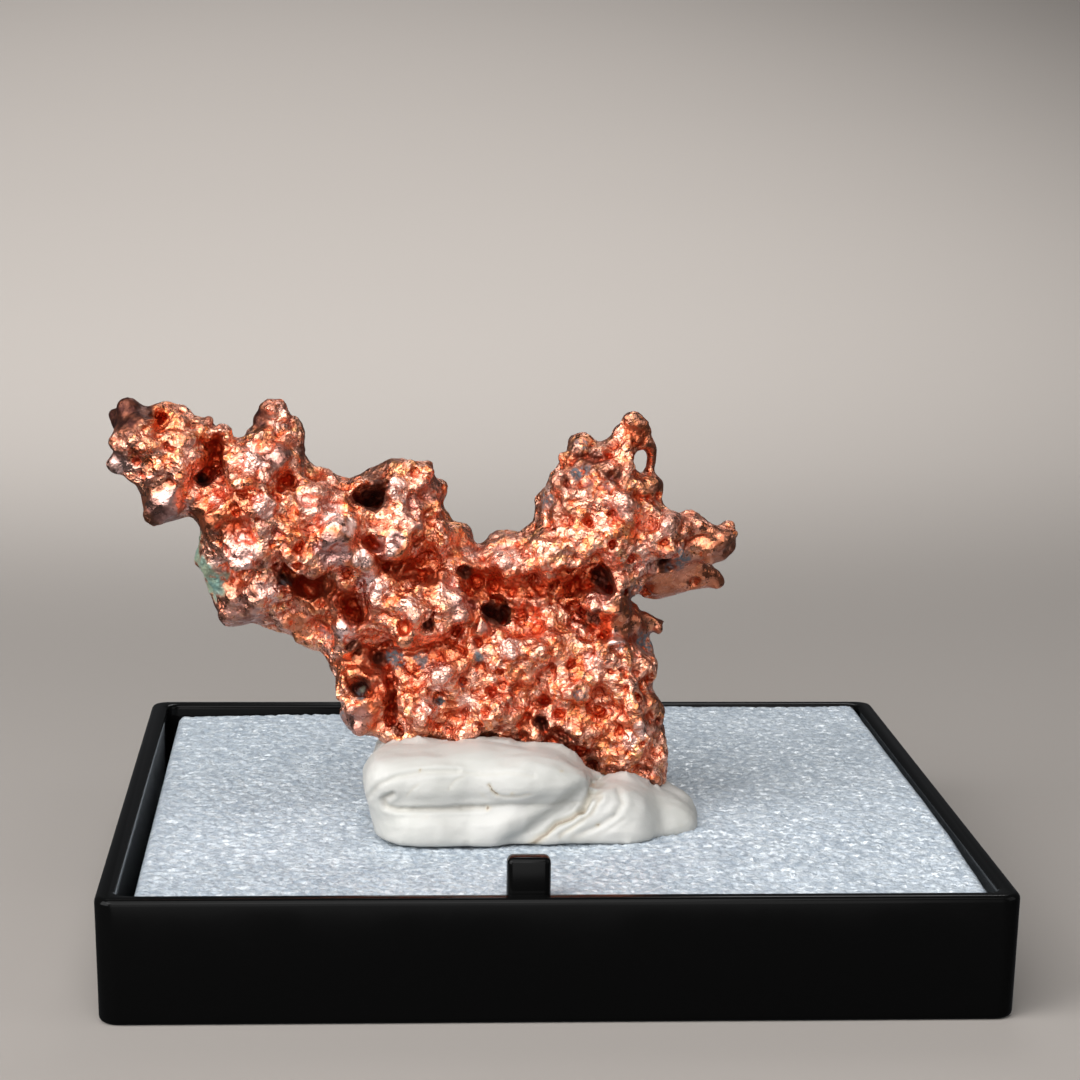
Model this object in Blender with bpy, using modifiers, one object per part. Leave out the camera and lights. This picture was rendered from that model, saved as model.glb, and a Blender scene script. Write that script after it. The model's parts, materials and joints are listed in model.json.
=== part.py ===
"""Native copper nugget of miniature size, held by a lump of white putty on a small display base.

Metres, +Z up. X runs along the front edge of the base, Y from front to back.
The origin is the middle of the base's flat underside.
"""

import math

import bmesh
import bpy
from mathutils import Matrix, Vector, noise

MM = 0.001
GAP = 0.3

# The base: a moulded square tray whose sides draw in slightly towards the bottom.
TRAY_SIDE = 57.0
TRAY_HEIGHT = 8.0
TRAY_DRAFT = 0.22
TRAY_CORNER_RADIUS = 1.3
TRAY_EDGE_RADIUS = 0.35
HOLLOW_CORNER_SHARE = 0.7
SHARP_EDGE_DEGREES = 50.0
WALL = 1.3
FLOOR = 1.5
TAB_X = -2.0
TAB_WIDTH = 2.7
TAB_RISE = 2.25
TAB_DEPTH = 1.2
TAB_ROOT = 3.0
TAB_EDGE_RADIUS = 0.4
# How far a tab's back sinks into the wall that it stands against.
TAB_SINK = 0.25

# The foam pad fills the tray and is pushed over to its right-hand wall.
FOAM_TOP = 7.6
FOAM_LEFT_DROP = 0.35
FOAM_LEFT_GAP = 0.9
FOAM_SIDE_GAP = 0.3
FOAM_CORNER_RADIUS = 1.2

# The putty: two thick rolls pressed together at the front, with a lobe folded over on the right.
PUTTY_FOOT = FOAM_TOP + GAP
PUTTY_VOXEL = 0.55
PUTTY_TRIANGLES = 1500
PUTTY_SMOOTH_STEPS = 14
# The pocket around the copper keeps this much more than the gap, because its skin is faceted.
POCKET_EXTRA = 0.2

# Ellipsoid lumps of each limb: centre x, y, z and half sizes along x, y, z, in millimetres.
LEFT_END = (
    (-26.2, -7.0, 33.1, 2.4, 3.2, 2.2),
    (-24.2, -6.8, 32.3, 2.2, 3.6, 2.3),
    (-27.3, -7.0, 32.8, 1.2, 2.2, 1.8),
    (-28.1, -7.6, 31.8, 1.1, 1.2, 0.7),
    (-27.0, -7.4, 31.4, 1.1, 1.8, 1.0),
    (-28.2, -6.6, 34.7, 0.85, 1.1, 0.6),
    (-27.5, -6.4, 35.0, 0.95, 1.3, 0.75),
    (-25.6, -7.0, 34.9, 1.3, 1.5, 1.05),
    (-24.5, -6.8, 34.6, 1.0, 1.6, 1.0),
    (-23.3, -7.0, 33.8, 1.1, 2.2, 1.0),
    (-25.3, -7.6, 29.4, 1.4, 2.0, 1.8),
    (-25.8, -7.6, 28.5, 0.95, 1.4, 1.25),
    (-24.1, -7.0, 29.7, 1.4, 2.2, 1.5),
    (-25.3, -7.2, 31.0, 1.8, 2.7, 1.5),
)
LEFT_ARM = (
    (-21.9, -6.2, 31.4, 1.6, 2.4, 2.6),
    (-22.0, -7.2, 33.7, 1.0, 1.6, 0.9),
    (-22.5, -6.2, 29.5, 1.4, 2.6, 1.4),
    (-21.4, -6.8, 28.4, 1.9, 3.5, 1.7),
    (-20.6, -7.0, 32.1, 1.6, 3.2, 1.6),
    (-19.0, -7.2, 31.4, 2.2, 3.9, 2.2),
    (-18.1, -6.9, 33.0, 1.9, 2.8, 1.6),
    (-18.3, -6.4, 34.9, 0.85, 1.3, 1.2),
    (-17.6, -6.4, 34.0, 0.9, 1.6, 1.4),
    (-17.1, -6.8, 32.2, 1.2, 2.5, 1.7),
    (-18.8, -7.6, 28.8, 2.9, 4.1, 2.5),
    (-21.1, -7.0, 26.9, 2.0, 3.4, 1.8),
    (-18.8, -7.6, 26.6, 2.4, 3.8, 1.7),
    (-16.0, -7.5, 28.4, 2.4, 4.0, 2.6),
    (-14.7, -7.0, 29.9, 1.6, 3.2, 1.5),
    (-14.8, -6.8, 30.9, 0.75, 1.2, 0.75),
    (-14.2, -7.2, 27.2, 2.2, 3.6, 1.9),
    (-13.7, -10.2, 27.0, 1.45, 1.3, 1.4),
    (-15.6, -9.8, 26.2, 1.5, 1.5, 1.0),
    (-19.9, -10.2, 26.4, 1.5, 1.2, 0.9),
    (-21.6, -10.4, 28.6, 1.2, 0.9, 1.0),
    (-19.6, -10.9, 30.6, 1.3, 1.0, 1.2),
    (-17.2, -11.0, 27.9, 1.4, 1.1, 1.5),
)
HOLLOW_KNOB = (
    (-13.2, -6.8, 29.5, 1.0, 3.0, 1.3),
    (-12.4, -7.0, 27.9, 1.7, 3.4, 1.6),
    (-11.5, -6.0, 30.4, 1.5, 3.2, 0.75),
    (-11.4, -4.6, 29.5, 2.0, 2.4, 1.8),
    (-9.6, -6.3, 30.5, 1.8, 3.4, 1.55),
    (-8.5, -6.0, 30.8, 1.2, 2.4, 1.3),
    (-7.7, -5.8, 29.2, 1.15, 2.8, 1.4),
    (-9.6, -6.8, 28.3, 2.0, 3.8, 1.6),
    (-10.0, -10.0, 27.0, 1.2, 1.2, 1.15),
    (-10.4, -7.2, 26.4, 2.0, 3.3, 1.6),
    (-7.7, -5.4, 26.7, 1.9, 3.8, 1.6),
    (-5.8, -5.2, 26.8, 0.95, 1.7, 0.8),
    (-5.6, -5.0, 25.0, 1.6, 3.4, 1.5),
)
GREEN_LOBE = (
    (-21.6, -4.2, 24.4, 1.8, 3.1, 2.1),
    (-20.4, -4.2, 22.1, 1.8, 2.9, 1.9),
    (-19.0, -4.4, 22.1, 1.8, 3.2, 1.8),
    (-20.8, -3.8, 21.6, 1.2, 2.0, 1.4),
    (-18.6, -6.0, 23.7, 2.0, 3.7, 1.8),
    (-17.3, -4.6, 21.4, 1.3, 2.6, 1.5),
    (-16.2, -4.6, 20.5, 1.3, 2.3, 1.5),
    (-15.4, -4.6, 20.1, 0.7, 1.5, 0.9),
    (-15.3, -5.0, 22.8, 1.8, 3.0, 2.2),
    (-16.4, -4.2, 24.8, 2.6, 2.4, 2.0),
)
CORE = (
    (-12.7, -5.4, 23.6, 2.6, 4.0, 2.6),
    (-13.9, -8.8, 22.9, 0.8, 1.3, 2.3),
    (-12.1, -9.4, 25.7, 1.2, 1.4, 1.3),
    (-8.1, -7.2, 22.3, 3.0, 4.0, 2.5),
    (-7.0, -7.6, 22.6, 2.2, 3.2, 2.1),
    (-10.8, -7.0, 23.3, 2.0, 3.9, 2.0),
    (-11.1, -7.0, 21.7, 1.8, 3.2, 1.2),
    (-8.9, -9.2, 20.6, 1.8, 1.6, 0.5),
    (-13.1, -7.0, 20.7, 1.1, 2.6, 1.3),
    (-13.4, -5.0, 19.1, 1.4, 2.6, 1.3),
    (-4.4, -8.0, 21.4, 0.65, 1.5, 1.2),
    (-4.0, -4.4, 22.8, 2.4, 3.4, 2.0),
    (-9.0, -4.6, 22.4, 3.4, 4.0, 3.0),
    (-9.6, -4.6, 19.6, 3.6, 3.8, 2.2),
    (-5.6, -4.6, 20.6, 2.6, 3.8, 2.4),
)
BODY = (
    (-12.2, -5.6, 16.3, 1.9, 3.8, 2.7),
    (-13.0, -5.2, 17.9, 1.35, 2.8, 1.5),
    (-12.0, -5.8, 14.5, 1.4, 3.2, 1.4),
    (-8.4, -5.2, 16.2, 2.4, 4.8, 3.4),
    (-5.5, -5.2, 17.2, 2.6, 4.9, 3.6),
    (-2.5, -5.2, 18.2, 2.8, 4.9, 3.5),
    (0.9, -5.2, 18.2, 3.0, 5.0, 3.9),
    (4.2, -5.0, 18.2, 2.6, 4.7, 3.2),
    (6.0, -4.8, 17.5, 1.9, 3.6, 1.9),
    (7.1, -4.8, 18.0, 0.95, 1.8, 0.9),
    (5.6, -5.5, 14.4, 2.5, 4.4, 3.6),
    (6.9, -5.4, 13.0, 1.45, 3.0, 2.6),
    (7.4, -6.2, 11.3, 1.35, 2.6, 1.9),
    (2.0, -5.4, 14.8, 2.8, 4.9, 3.6),
    (-1.5, -5.4, 14.8, 2.8, 4.9, 3.2),
    (-5.0, -5.4, 14.6, 2.8, 4.7, 3.0),
    (-8.8, -5.4, 14.0, 2.2, 4.4, 2.3),
    (4.8, -6.6, 11.9, 2.2, 3.3, 1.9),
    (7.3, -6.8, 10.6, 1.2, 2.0, 1.2),
    (4.3, -9.3, 20.2, 1.4, 1.0, 0.35),
    (-1.2, -9.6, 19.8, 1.5, 1.0, 1.1),
    (-6.3, -9.8, 17.9, 1.4, 0.9, 1.2),
    (2.2, -9.9, 17.2, 1.3, 0.9, 1.2),
    (5.3, -9.2, 16.9, 1.2, 1.0, 1.3),
    (-3.2, -9.9, 15.4, 1.5, 0.9, 1.1),
)
RIGHT_ARM = (
    (-4.2, -4.8, 24.4, 1.6, 3.3, 1.5),
    (-2.6, -5.0, 24.9, 1.8, 3.5, 2.0),
    (-1.2, -5.1, 25.3, 1.6, 3.8, 1.8),
    (-0.5, -5.0, 22.8, 2.2, 3.4, 2.2),
    (1.0, -5.6, 26.0, 2.3, 4.1, 2.2),
    (0.6, -5.0, 28.6, 1.15, 2.7, 1.8),
    (0.4, -5.0, 30.2, 0.65, 1.5, 0.8),
    (2.3, -5.2, 29.2, 2.0, 3.7, 2.4),
    (2.2, -5.0, 31.6, 1.15, 2.4, 1.4),
    (2.7, -5.0, 32.6, 1.15, 2.0, 1.15),
    (3.9, -5.1, 31.3, 1.7, 2.9, 2.0),
    (5.3, -5.0, 33.0, 1.05, 2.0, 1.7),
    (5.9, -4.9, 33.9, 1.1, 1.6, 0.95),
    (6.9, -4.9, 33.1, 0.6, 1.2, 0.95),
    (7.2, -4.9, 32.1, 0.45, 1.0, 1.15),
    (7.1, -5.0, 30.2, 1.15, 2.4, 0.95),
    (5.2, -5.4, 28.8, 2.6, 4.0, 2.5),
    (4.4, -5.7, 26.7, 3.0, 4.2, 2.0),
    (7.7, -5.2, 27.0, 2.4, 3.7, 1.8),
    (9.2, -5.0, 27.4, 1.5, 2.8, 1.2),
    (9.2, -4.9, 25.8, 1.5, 2.8, 1.2),
    (8.2, -3.6, 24.9, 1.9, 2.4, 1.4),
    (10.0, -3.6, 24.8, 1.2, 2.0, 1.2),
    (2.9, -4.2, 23.4, 2.3, 3.4, 1.7),
    (4.4, -5.2, 22.3, 1.7, 3.8, 1.3),
    (5.6, -4.6, 24.2, 1.9, 3.6, 1.3),
    (5.2, -4.0, 20.8, 1.5, 3.1, 1.2),
)
RIGHT_TIPS = (
    (11.3, -5.0, 26.2, 1.35, 1.8, 1.3),
    (12.0, -5.0, 26.3, 0.85, 1.3, 0.9),
    (12.45, -5.0, 27.2, 0.5, 0.8, 0.5),
    (10.6, -4.8, 27.2, 1.0, 1.8, 0.9),
    (7.6, -3.2, 23.4, 1.5, 2.3, 0.9),
    (9.4, -2.9, 23.2, 1.6, 2.0, 1.0),
    (11.3, -2.8, 23.4, 1.3, 1.7, 0.95),
    (12.2, -2.8, 23.2, 0.5, 0.8, 0.45),
    (6.5, -3.4, 20.5, 1.0, 1.5, 0.6),
    (7.9, -3.2, 20.3, 0.85, 1.0, 0.5),
    (6.9, -3.8, 19.0, 0.8, 1.3, 0.65),
)
BACK = (
    (-24.6, -4.6, 32.6, 1.5, 1.4, 1.4),
    (-18.5, -4.0, 30.2, 2.0, 1.5, 1.6),
    (-11.2, -3.4, 27.6, 2.2, 1.7, 1.8),
    (-13.0, -2.1, 23.8, 1.7, 1.4, 1.6),
    (-7.2, -1.6, 22.6, 2.6, 1.7, 2.0),
    (-2.2, -0.9, 19.6, 2.2, 1.5, 1.8),
    (3.4, -1.0, 17.8, 2.0, 1.5, 2.2),
    (-9.6, -1.3, 17.0, 1.8, 1.5, 2.2),
    (-5.4, -1.2, 14.6, 1.8, 1.3, 1.4),
    (6.2, -1.6, 14.4, 1.2, 1.3, 2.0),
    (0.6, -1.8, 24.0, 1.8, 1.4, 1.4),
    (2.8, -1.8, 27.2, 2.4, 1.5, 1.8),
    (5.2, -2.3, 30.4, 1.4, 1.3, 1.4),
)
NUGGET_LUMPS = LEFT_END + LEFT_ARM + HOLLOW_KNOB + GREEN_LOBE + CORE + BODY + RIGHT_ARM + RIGHT_TIPS + BACK

# Pits, cavities and the one hole through the copper, as ellipsoids in the same form.
NUGGET_PITS = (
    (-11.7, -10.4, 29.75, 1.2, 3.8, 0.85),
    (-22.6, -8.8, 30.9, 0.65, 2.4, 0.6),
    (-21.9, -9.4, 32.4, 0.5, 2.4, 1.7),
    (-25.6, -8.6, 34.9, 0.45, 1.4, 0.45),
    (-15.7, -8.4, 23.7, 1.3, 2.8, 1.1),
    (-12.7, -9.6, 22.6, 0.8, 2.6, 1.0),
    (-17.4, -9.6, 24.7, 0.35, 1.6, 1.0),
    (-9.1, -10.6, 25.3, 1.6, 2.6, 0.45),
    (-3.3, -8.2, 22.0, 1.1, 2.8, 0.75),
    (-4.0, -8.6, 24.0, 1.8, 1.6, 1.0),
    (-9.4, -11.2, 21.4, 0.45, 1.8, 0.4),
    (-7.4, -11.2, 21.5, 0.5, 2.0, 0.5),
    (2.2, -8.8, 24.7, 1.9, 2.4, 0.4),
    (3.8, -8.8, 24.3, 0.8, 3.0, 0.75),
    (5.7, -9.4, 25.7, 0.45, 1.8, 0.5),
    (4.6, -9.8, 26.7, 0.4, 1.2, 0.5),
    (6.2, -8.2, 29.8, 0.85, 1.8, 0.35),
    (6.55, -5.0, 31.95, 0.5, 4.0, 0.9),
    (-12.4, -9.4, 17.1, 0.9, 1.6, 0.8),
    (-10.4, -9.8, 16.8, 0.4, 2.0, 2.6),
    (-0.1, -10.3, 14.9, 0.5, 2.0, 0.8),
    (9.6, -7.5, 25.7, 0.6, 1.2, 0.6),
    (0.9, -9.6, 21.6, 1.6, 1.2, 0.6),
    (-17.9, -11.4, 30.6, 0.5, 1.2, 0.5),
    (-24.9, -10.0, 32.9, 0.5, 1.0, 0.5),
    (-2.9, -10.2, 17.2, 0.5, 1.2, 0.4),
    (2.9, -10.2, 15.4, 0.5, 1.2, 0.5),
    (2.6, -8.6, 30.6, 0.6, 1.2, 0.5),
    (-8.6, -9.6, 29.6, 0.5, 1.2, 0.5),
    (-15.8, -3.4, 27.4, 1.0, 1.4, 0.8),
    (-21.0, -3.4, 31.4, 0.6, 1.3, 0.7),
    (-4.8, -0.4, 18.2, 0.7, 1.5, 0.9),
    (1.0, -0.2, 15.8, 0.6, 1.4, 0.9),
    (7.0, -1.8, 26.8, 0.8, 1.2, 0.6),
    (-11.9, -1.8, 20.2, 0.8, 1.2, 0.7),
)
NUGGET_VOXEL = 0.36
PIT_VOXEL = 0.25
NUGGET_TRIANGLES = 7000
# Rough relief over the lumps: size of its features and its height.
KNOB_SIZE = 2.4
KNOB_HEIGHT = 0.7
GRAIN_SIZE = 1.2
GRAIN_HEIGHT = 0.35
CREASE_SHARE = 0.5
POCKET_TRIANGLES = 2600

# Corners of the putty's rounded blocks: low x, y, z and high x, y, z, then the edge radius.
PUTTY_BLOCKS = (
    (-11.6, -14.6, 6.0, 2.4, 0.6, 13.3, 2.6),
    (-10.9, -15.3, 5.0, 1.2, -9.0, 10.6, 2.0),
    (-12.3, -15.0, 9.3, 3.2, -8.6, 13.6, 1.9),
    (-10.5, -4.0, 5.5, 8.5, 1.6, 11.6, 2.4),
    (-0.6, -14.6, 5.0, 7.4, -3.0, 11.3, 2.2),
    (4.0, -12.8, 4.5, 10.6, -4.0, 9.9, 2.0),
)
PUTTY_RUMPLE_SIZE = 5.0
PUTTY_RUMPLE_HEIGHT = 0.3
# The block that levels the putty's underside: half its width, and how far down it reaches.
UNDERSIDE_HALF = 40.0
UNDERSIDE_DEPTH = 20.0

# A groove fades out at this many times its width from its chain.
GROOVE_REACH = 2.0
# Grooves pressed into the putty's front: a chain of points x, y, z, then its width and depth.
PUTTY_GROOVES = (
    (((-11.6, -14.6, 10.4), (-9.0, -15.2, 10.1), (-4.0, -15.2, 10.2), (-0.4, -15.0, 10.3)), 0.7, 0.8),
    (((-2.4, -15.2, 7.9), (-0.2, -15.0, 9.1), (2.0, -14.4, 10.5), (3.2, -12.4, 11.6)), 0.8, 1.2),
)


def clear_scene():
    for obj in list(bpy.data.objects):
        bpy.data.objects.remove(obj, do_unlink=True)


def new_collection(name, hidden):
    made = bpy.data.collections.new(name)
    bpy.context.scene.collection.children.link(made)
    made.hide_render = hidden
    return made


def new_object(name, mesh, collection):
    obj = bpy.data.objects.new(name, mesh)
    collection.objects.link(obj)
    return obj


def object_from_bmesh(bm, name, collection):
    mesh = bpy.data.meshes.new(name)
    bm.to_mesh(mesh)
    bm.free()
    return new_object(name, mesh, collection)


def material(name, colour, roughness, metallic):
    made = bpy.data.materials.new(name)
    made.use_nodes = True
    shader = made.node_tree.nodes["Principled BSDF"]
    shader.inputs["Base Color"].default_value = (*colour, 1.0)
    shader.inputs["Roughness"].default_value = roughness
    shader.inputs["Metallic"].default_value = metallic
    made.diffuse_color = (*colour, 1.0)
    return made


def finish(obj, made):
    obj.data.materials.clear()
    obj.data.materials.append(made)


def apply_modifiers(obj):
    """Replaces the object's mesh with its evaluated one and drops the modifiers."""
    graph = bpy.context.evaluated_depsgraph_get()
    mesh = bpy.data.meshes.new_from_object(obj.evaluated_get(graph))
    obj.modifiers.clear()
    old = obj.data
    obj.data = mesh
    bpy.data.meshes.remove(old)


def remesh(obj, voxel_mm):
    step = obj.modifiers.new("remesh", "REMESH")
    step.mode = "VOXEL"
    step.voxel_size = voxel_mm * MM
    step.use_smooth_shade = True
    apply_modifiers(obj)


def smooth(obj, times, factor=0.5):
    step = obj.modifiers.new("smooth", "SMOOTH")
    step.factor = factor
    step.iterations = times
    apply_modifiers(obj)


def decimate(obj, triangles):
    obj.data.calc_loop_triangles()
    step = obj.modifiers.new("decimate", "DECIMATE")
    step.ratio = min(1.0, triangles / len(obj.data.loop_triangles))
    step.use_collapse_triangulate = True
    apply_modifiers(obj)


def boolean(obj, other, operation):
    step = obj.modifiers.new("boolean", "BOOLEAN")
    step.operation = operation
    step.solver = "EXACT"
    step.object = other
    apply_modifiers(obj)


def as_cutter(obj):
    obj.hide_render = True
    obj.display_type = "WIRE"


def rounded_block(low, high, radius, name, collection, segments=3):
    bm = bmesh.new()
    bmesh.ops.create_cube(bm, size=1.0)
    size = Vector(high) - Vector(low)
    bmesh.ops.scale(bm, vec=size, verts=bm.verts)
    bmesh.ops.translate(bm, vec=(Vector(low) + Vector(high)) / 2, verts=bm.verts)
    if radius > 0:
        bmesh.ops.bevel(
            bm, geom=bm.edges[:], offset=radius, segments=segments, profile=0.5, affect="EDGES"
        )
    bmesh.ops.scale(bm, vec=(MM, MM, MM), verts=bm.verts)
    return object_from_bmesh(bm, name, collection)


def ellipsoid_cluster(lumps, name, collection):
    """One object of overlapping ellipsoids, remeshed afterwards into a single skin."""
    bm = bmesh.new()
    for x, y, z, half_x, half_y, half_z in lumps:
        place = Matrix.Translation((x * MM, y * MM, z * MM))
        stretch = Matrix.Diagonal((half_x * MM, half_y * MM, half_z * MM, 1.0))
        bmesh.ops.create_icosphere(bm, subdivisions=3, radius=1.0, matrix=place @ stretch)
    return object_from_bmesh(bm, name, collection)


def roughen(obj, layers):
    """Moves each vertex along its normal by layers of noise, each a feature size and a height in mm."""
    bm = bmesh.new()
    bm.from_mesh(obj.data)
    bm.normal_update()
    moves = []
    for vert in bm.verts:
        height = 0.0
        for number, (size, amount) in enumerate(layers):
            offset = Vector((7.3 * number, 1.9, 4.1))
            height += amount * (abs(noise.noise(vert.co / (size * MM) + offset)) * 2.0 - CREASE_SHARE)
        moves.append(vert.normal * height * MM)
    for vert, move in zip(bm.verts, moves):
        vert.co += move
    bm.to_mesh(obj.data)
    bm.free()


def along_chain(point, chain):
    """Distance in mm from a point to a chain of straight links."""
    nearest = math.inf
    for start, end in zip(chain, chain[1:]):
        start = Vector(start)
        link = Vector(end) - start
        share = max(0.0, min(1.0, (point - start).dot(link) / link.length_squared))
        nearest = min(nearest, (point - start - link * share).length)
    return nearest


def press_grooves(obj, grooves):
    bm = bmesh.new()
    bm.from_mesh(obj.data)
    bm.normal_update()
    moves = []
    for vert in bm.verts:
        point = vert.co / MM
        depth = 0.0
        for chain, width, most in grooves:
            near = along_chain(point, chain)
            if near < GROOVE_REACH * width:
                depth = max(depth, most * (1.0 - near / (GROOVE_REACH * width)) ** 2)
        moves.append(vert.normal * -depth * MM)
    for vert, move in zip(bm.verts, moves):
        vert.co += move
    bm.to_mesh(obj.data)
    bm.free()


def make_tray(parts, cutters):
    half = TRAY_SIDE / 2
    tray = rounded_block((-half, -half, 0), (half, half, TRAY_HEIGHT), 0, "display_base", parts)
    bm = bmesh.new()
    bm.from_mesh(tray.data)
    narrow = (half - TRAY_DRAFT) / half
    low = [vert for vert in bm.verts if vert.co.z < TRAY_HEIGHT * MM / 2]
    bmesh.ops.scale(bm, vec=(narrow, narrow, 1.0), verts=low)
    upright = [edge for edge in bm.edges if abs(edge.verts[0].co.z - edge.verts[1].co.z) > MM]
    bmesh.ops.bevel(
        bm, geom=upright, offset=TRAY_CORNER_RADIUS * MM, segments=5, profile=0.5, affect="EDGES"
    )
    bm.to_mesh(tray.data)
    bm.free()
    inner = half - WALL
    hollow = rounded_block(
        (-inner, -inner, FLOOR), (inner, inner, TRAY_HEIGHT * 2), 0, "tray_hollow", cutters
    )
    round_uprights(hollow, TRAY_CORNER_RADIUS * HOLLOW_CORNER_SHARE)
    as_cutter(hollow)
    boolean(tray, hollow, "DIFFERENCE")
    edge = tray.modifiers.new("soft_edges", "BEVEL")
    edge.width = TRAY_EDGE_RADIUS * MM
    edge.segments = 2
    edge.limit_method = "ANGLE"
    edge.angle_limit = math.radians(SHARP_EDGE_DEGREES)
    apply_modifiers(tray)
    for side in (-1, 1):
        tab = make_tab(side, inner, cutters)
        boolean(tray, tab, "UNION")
    return tray


def round_uprights(obj, radius):
    bm = bmesh.new()
    bm.from_mesh(obj.data)
    upright = [edge for edge in bm.edges if abs(edge.verts[0].co.z - edge.verts[1].co.z) > MM]
    bmesh.ops.bevel(bm, geom=upright, offset=radius * MM, segments=4, profile=0.5, affect="EDGES")
    bm.to_mesh(obj.data)
    bm.free()


def make_tab(side, inner, cutters):
    """A lid-locating tab just inside the front or the back wall, merged into that wall."""
    near = side * (inner + TAB_SINK)
    far = side * (inner - TAB_DEPTH)
    x = TAB_X * -side
    low = (x - TAB_WIDTH / 2, min(near, far), TAB_ROOT)
    high = (x + TAB_WIDTH / 2, max(near, far), TRAY_HEIGHT + TAB_RISE)
    name = f"tab_{'back' if side > 0 else 'front'}"
    tab = rounded_block(low, high, TAB_EDGE_RADIUS, name, cutters, 2)
    as_cutter(tab)
    return tab


def make_foam(parts, cutters):
    inner = TRAY_SIDE / 2 - WALL
    low = (-inner + FOAM_LEFT_GAP, -inner + FOAM_SIDE_GAP, FLOOR + GAP)
    high = (inner - FOAM_SIDE_GAP, inner - FOAM_SIDE_GAP, FOAM_TOP)
    foam = rounded_block(low, high, 0, "foam_pad", parts)
    round_uprights(foam, FOAM_CORNER_RADIUS)
    bm = bmesh.new()
    bm.from_mesh(foam.data)
    for vert in bm.verts:
        if vert.co.z > FOAM_TOP * MM / 2 and vert.co.x < 0:
            vert.co.z -= FOAM_LEFT_DROP * MM
    bm.to_mesh(foam.data)
    bm.free()
    for side in (-1, 1):
        x = TAB_X * -side
        reach = TAB_WIDTH / 2 + GAP
        inward = side * (inner - TAB_DEPTH - GAP)
        outward = side * TRAY_SIDE / 2
        notch = rounded_block(
            (x - reach, min(inward, outward), 0),
            (x + reach, max(inward, outward), FOAM_TOP * 2),
            0,
            f"foam_notch_{'back' if side > 0 else 'front'}",
            cutters,
        )
        as_cutter(notch)
        boolean(foam, notch, "DIFFERENCE")
    return foam


def make_nugget(parts, cutters):
    nugget = ellipsoid_cluster(NUGGET_LUMPS, "copper_nugget", parts)
    remesh(nugget, NUGGET_VOXEL)
    roughen(nugget, ((KNOB_SIZE, KNOB_HEIGHT), (GRAIN_SIZE, GRAIN_HEIGHT)))
    remesh(nugget, NUGGET_VOXEL)
    pits = ellipsoid_cluster(NUGGET_PITS, "nugget_pits", cutters)
    remesh(pits, PIT_VOXEL)
    as_cutter(pits)
    boolean(nugget, pits, "DIFFERENCE")
    remesh(nugget, NUGGET_VOXEL)
    decimate(nugget, NUGGET_TRIANGLES)
    return nugget


def make_putty(parts, cutters, nugget):
    putty = None
    for number, (x0, y0, z0, x1, y1, z1, radius) in enumerate(PUTTY_BLOCKS):
        name = "putty_mount" if putty is None else f"putty_block_{number}"
        home = parts if putty is None else cutters
        block = rounded_block((x0, y0, z0), (x1, y1, z1), radius, name, home, 4)
        if putty is None:
            putty = block
            continue
        as_cutter(block)
        boolean(putty, block, "UNION")
    remesh(putty, PUTTY_VOXEL)
    smooth(putty, PUTTY_SMOOTH_STEPS)
    roughen(putty, ((PUTTY_RUMPLE_SIZE, PUTTY_RUMPLE_HEIGHT),))
    press_grooves(putty, PUTTY_GROOVES)
    pocket = new_object("putty_pocket", nugget.data.copy(), cutters)
    swell = pocket.modifiers.new("swell", "DISPLACE")
    swell.strength = (GAP + POCKET_EXTRA) * MM
    swell.mid_level = 0.0
    apply_modifiers(pocket)
    remesh(pocket, NUGGET_VOXEL)
    decimate(pocket, POCKET_TRIANGLES)
    as_cutter(pocket)
    decimate(putty, PUTTY_TRIANGLES)
    low = (-UNDERSIDE_HALF, -UNDERSIDE_HALF, -UNDERSIDE_DEPTH)
    high = (UNDERSIDE_HALF, UNDERSIDE_HALF, PUTTY_FOOT)
    under = rounded_block(low, high, 0, "putty_underside", cutters)
    as_cutter(under)
    boolean(putty, under, "DIFFERENCE")
    boolean(putty, pocket, "DIFFERENCE")
    return putty


def main():
    clear_scene()
    parts = new_collection("copper_nugget_display", False)
    cutters = new_collection("cutters", True)
    nugget = make_nugget(parts, cutters)
    putty = make_putty(parts, cutters, nugget)
    tray = make_tray(parts, cutters)
    foam = make_foam(parts, cutters)
    finish(nugget, material("native_copper", (0.62, 0.24, 0.14), 0.35, 1.0))
    finish(putty, material("mineral_putty", (0.72, 0.70, 0.67), 0.6, 0.0))
    finish(tray, material("black_polystyrene", (0.004, 0.004, 0.004), 0.2, 0.0))
    finish(foam, material("white_foam", (0.62, 0.68, 0.74), 0.8, 0.0))


main()
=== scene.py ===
"""Looks of a native copper nugget in white putty, on the foam pad of a small black display base."""

import json
import math

import bmesh
import bpy
import numpy as np
from mathutils import Matrix, Vector, noise
from mathutils.bvhtree import BVHTree

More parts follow.
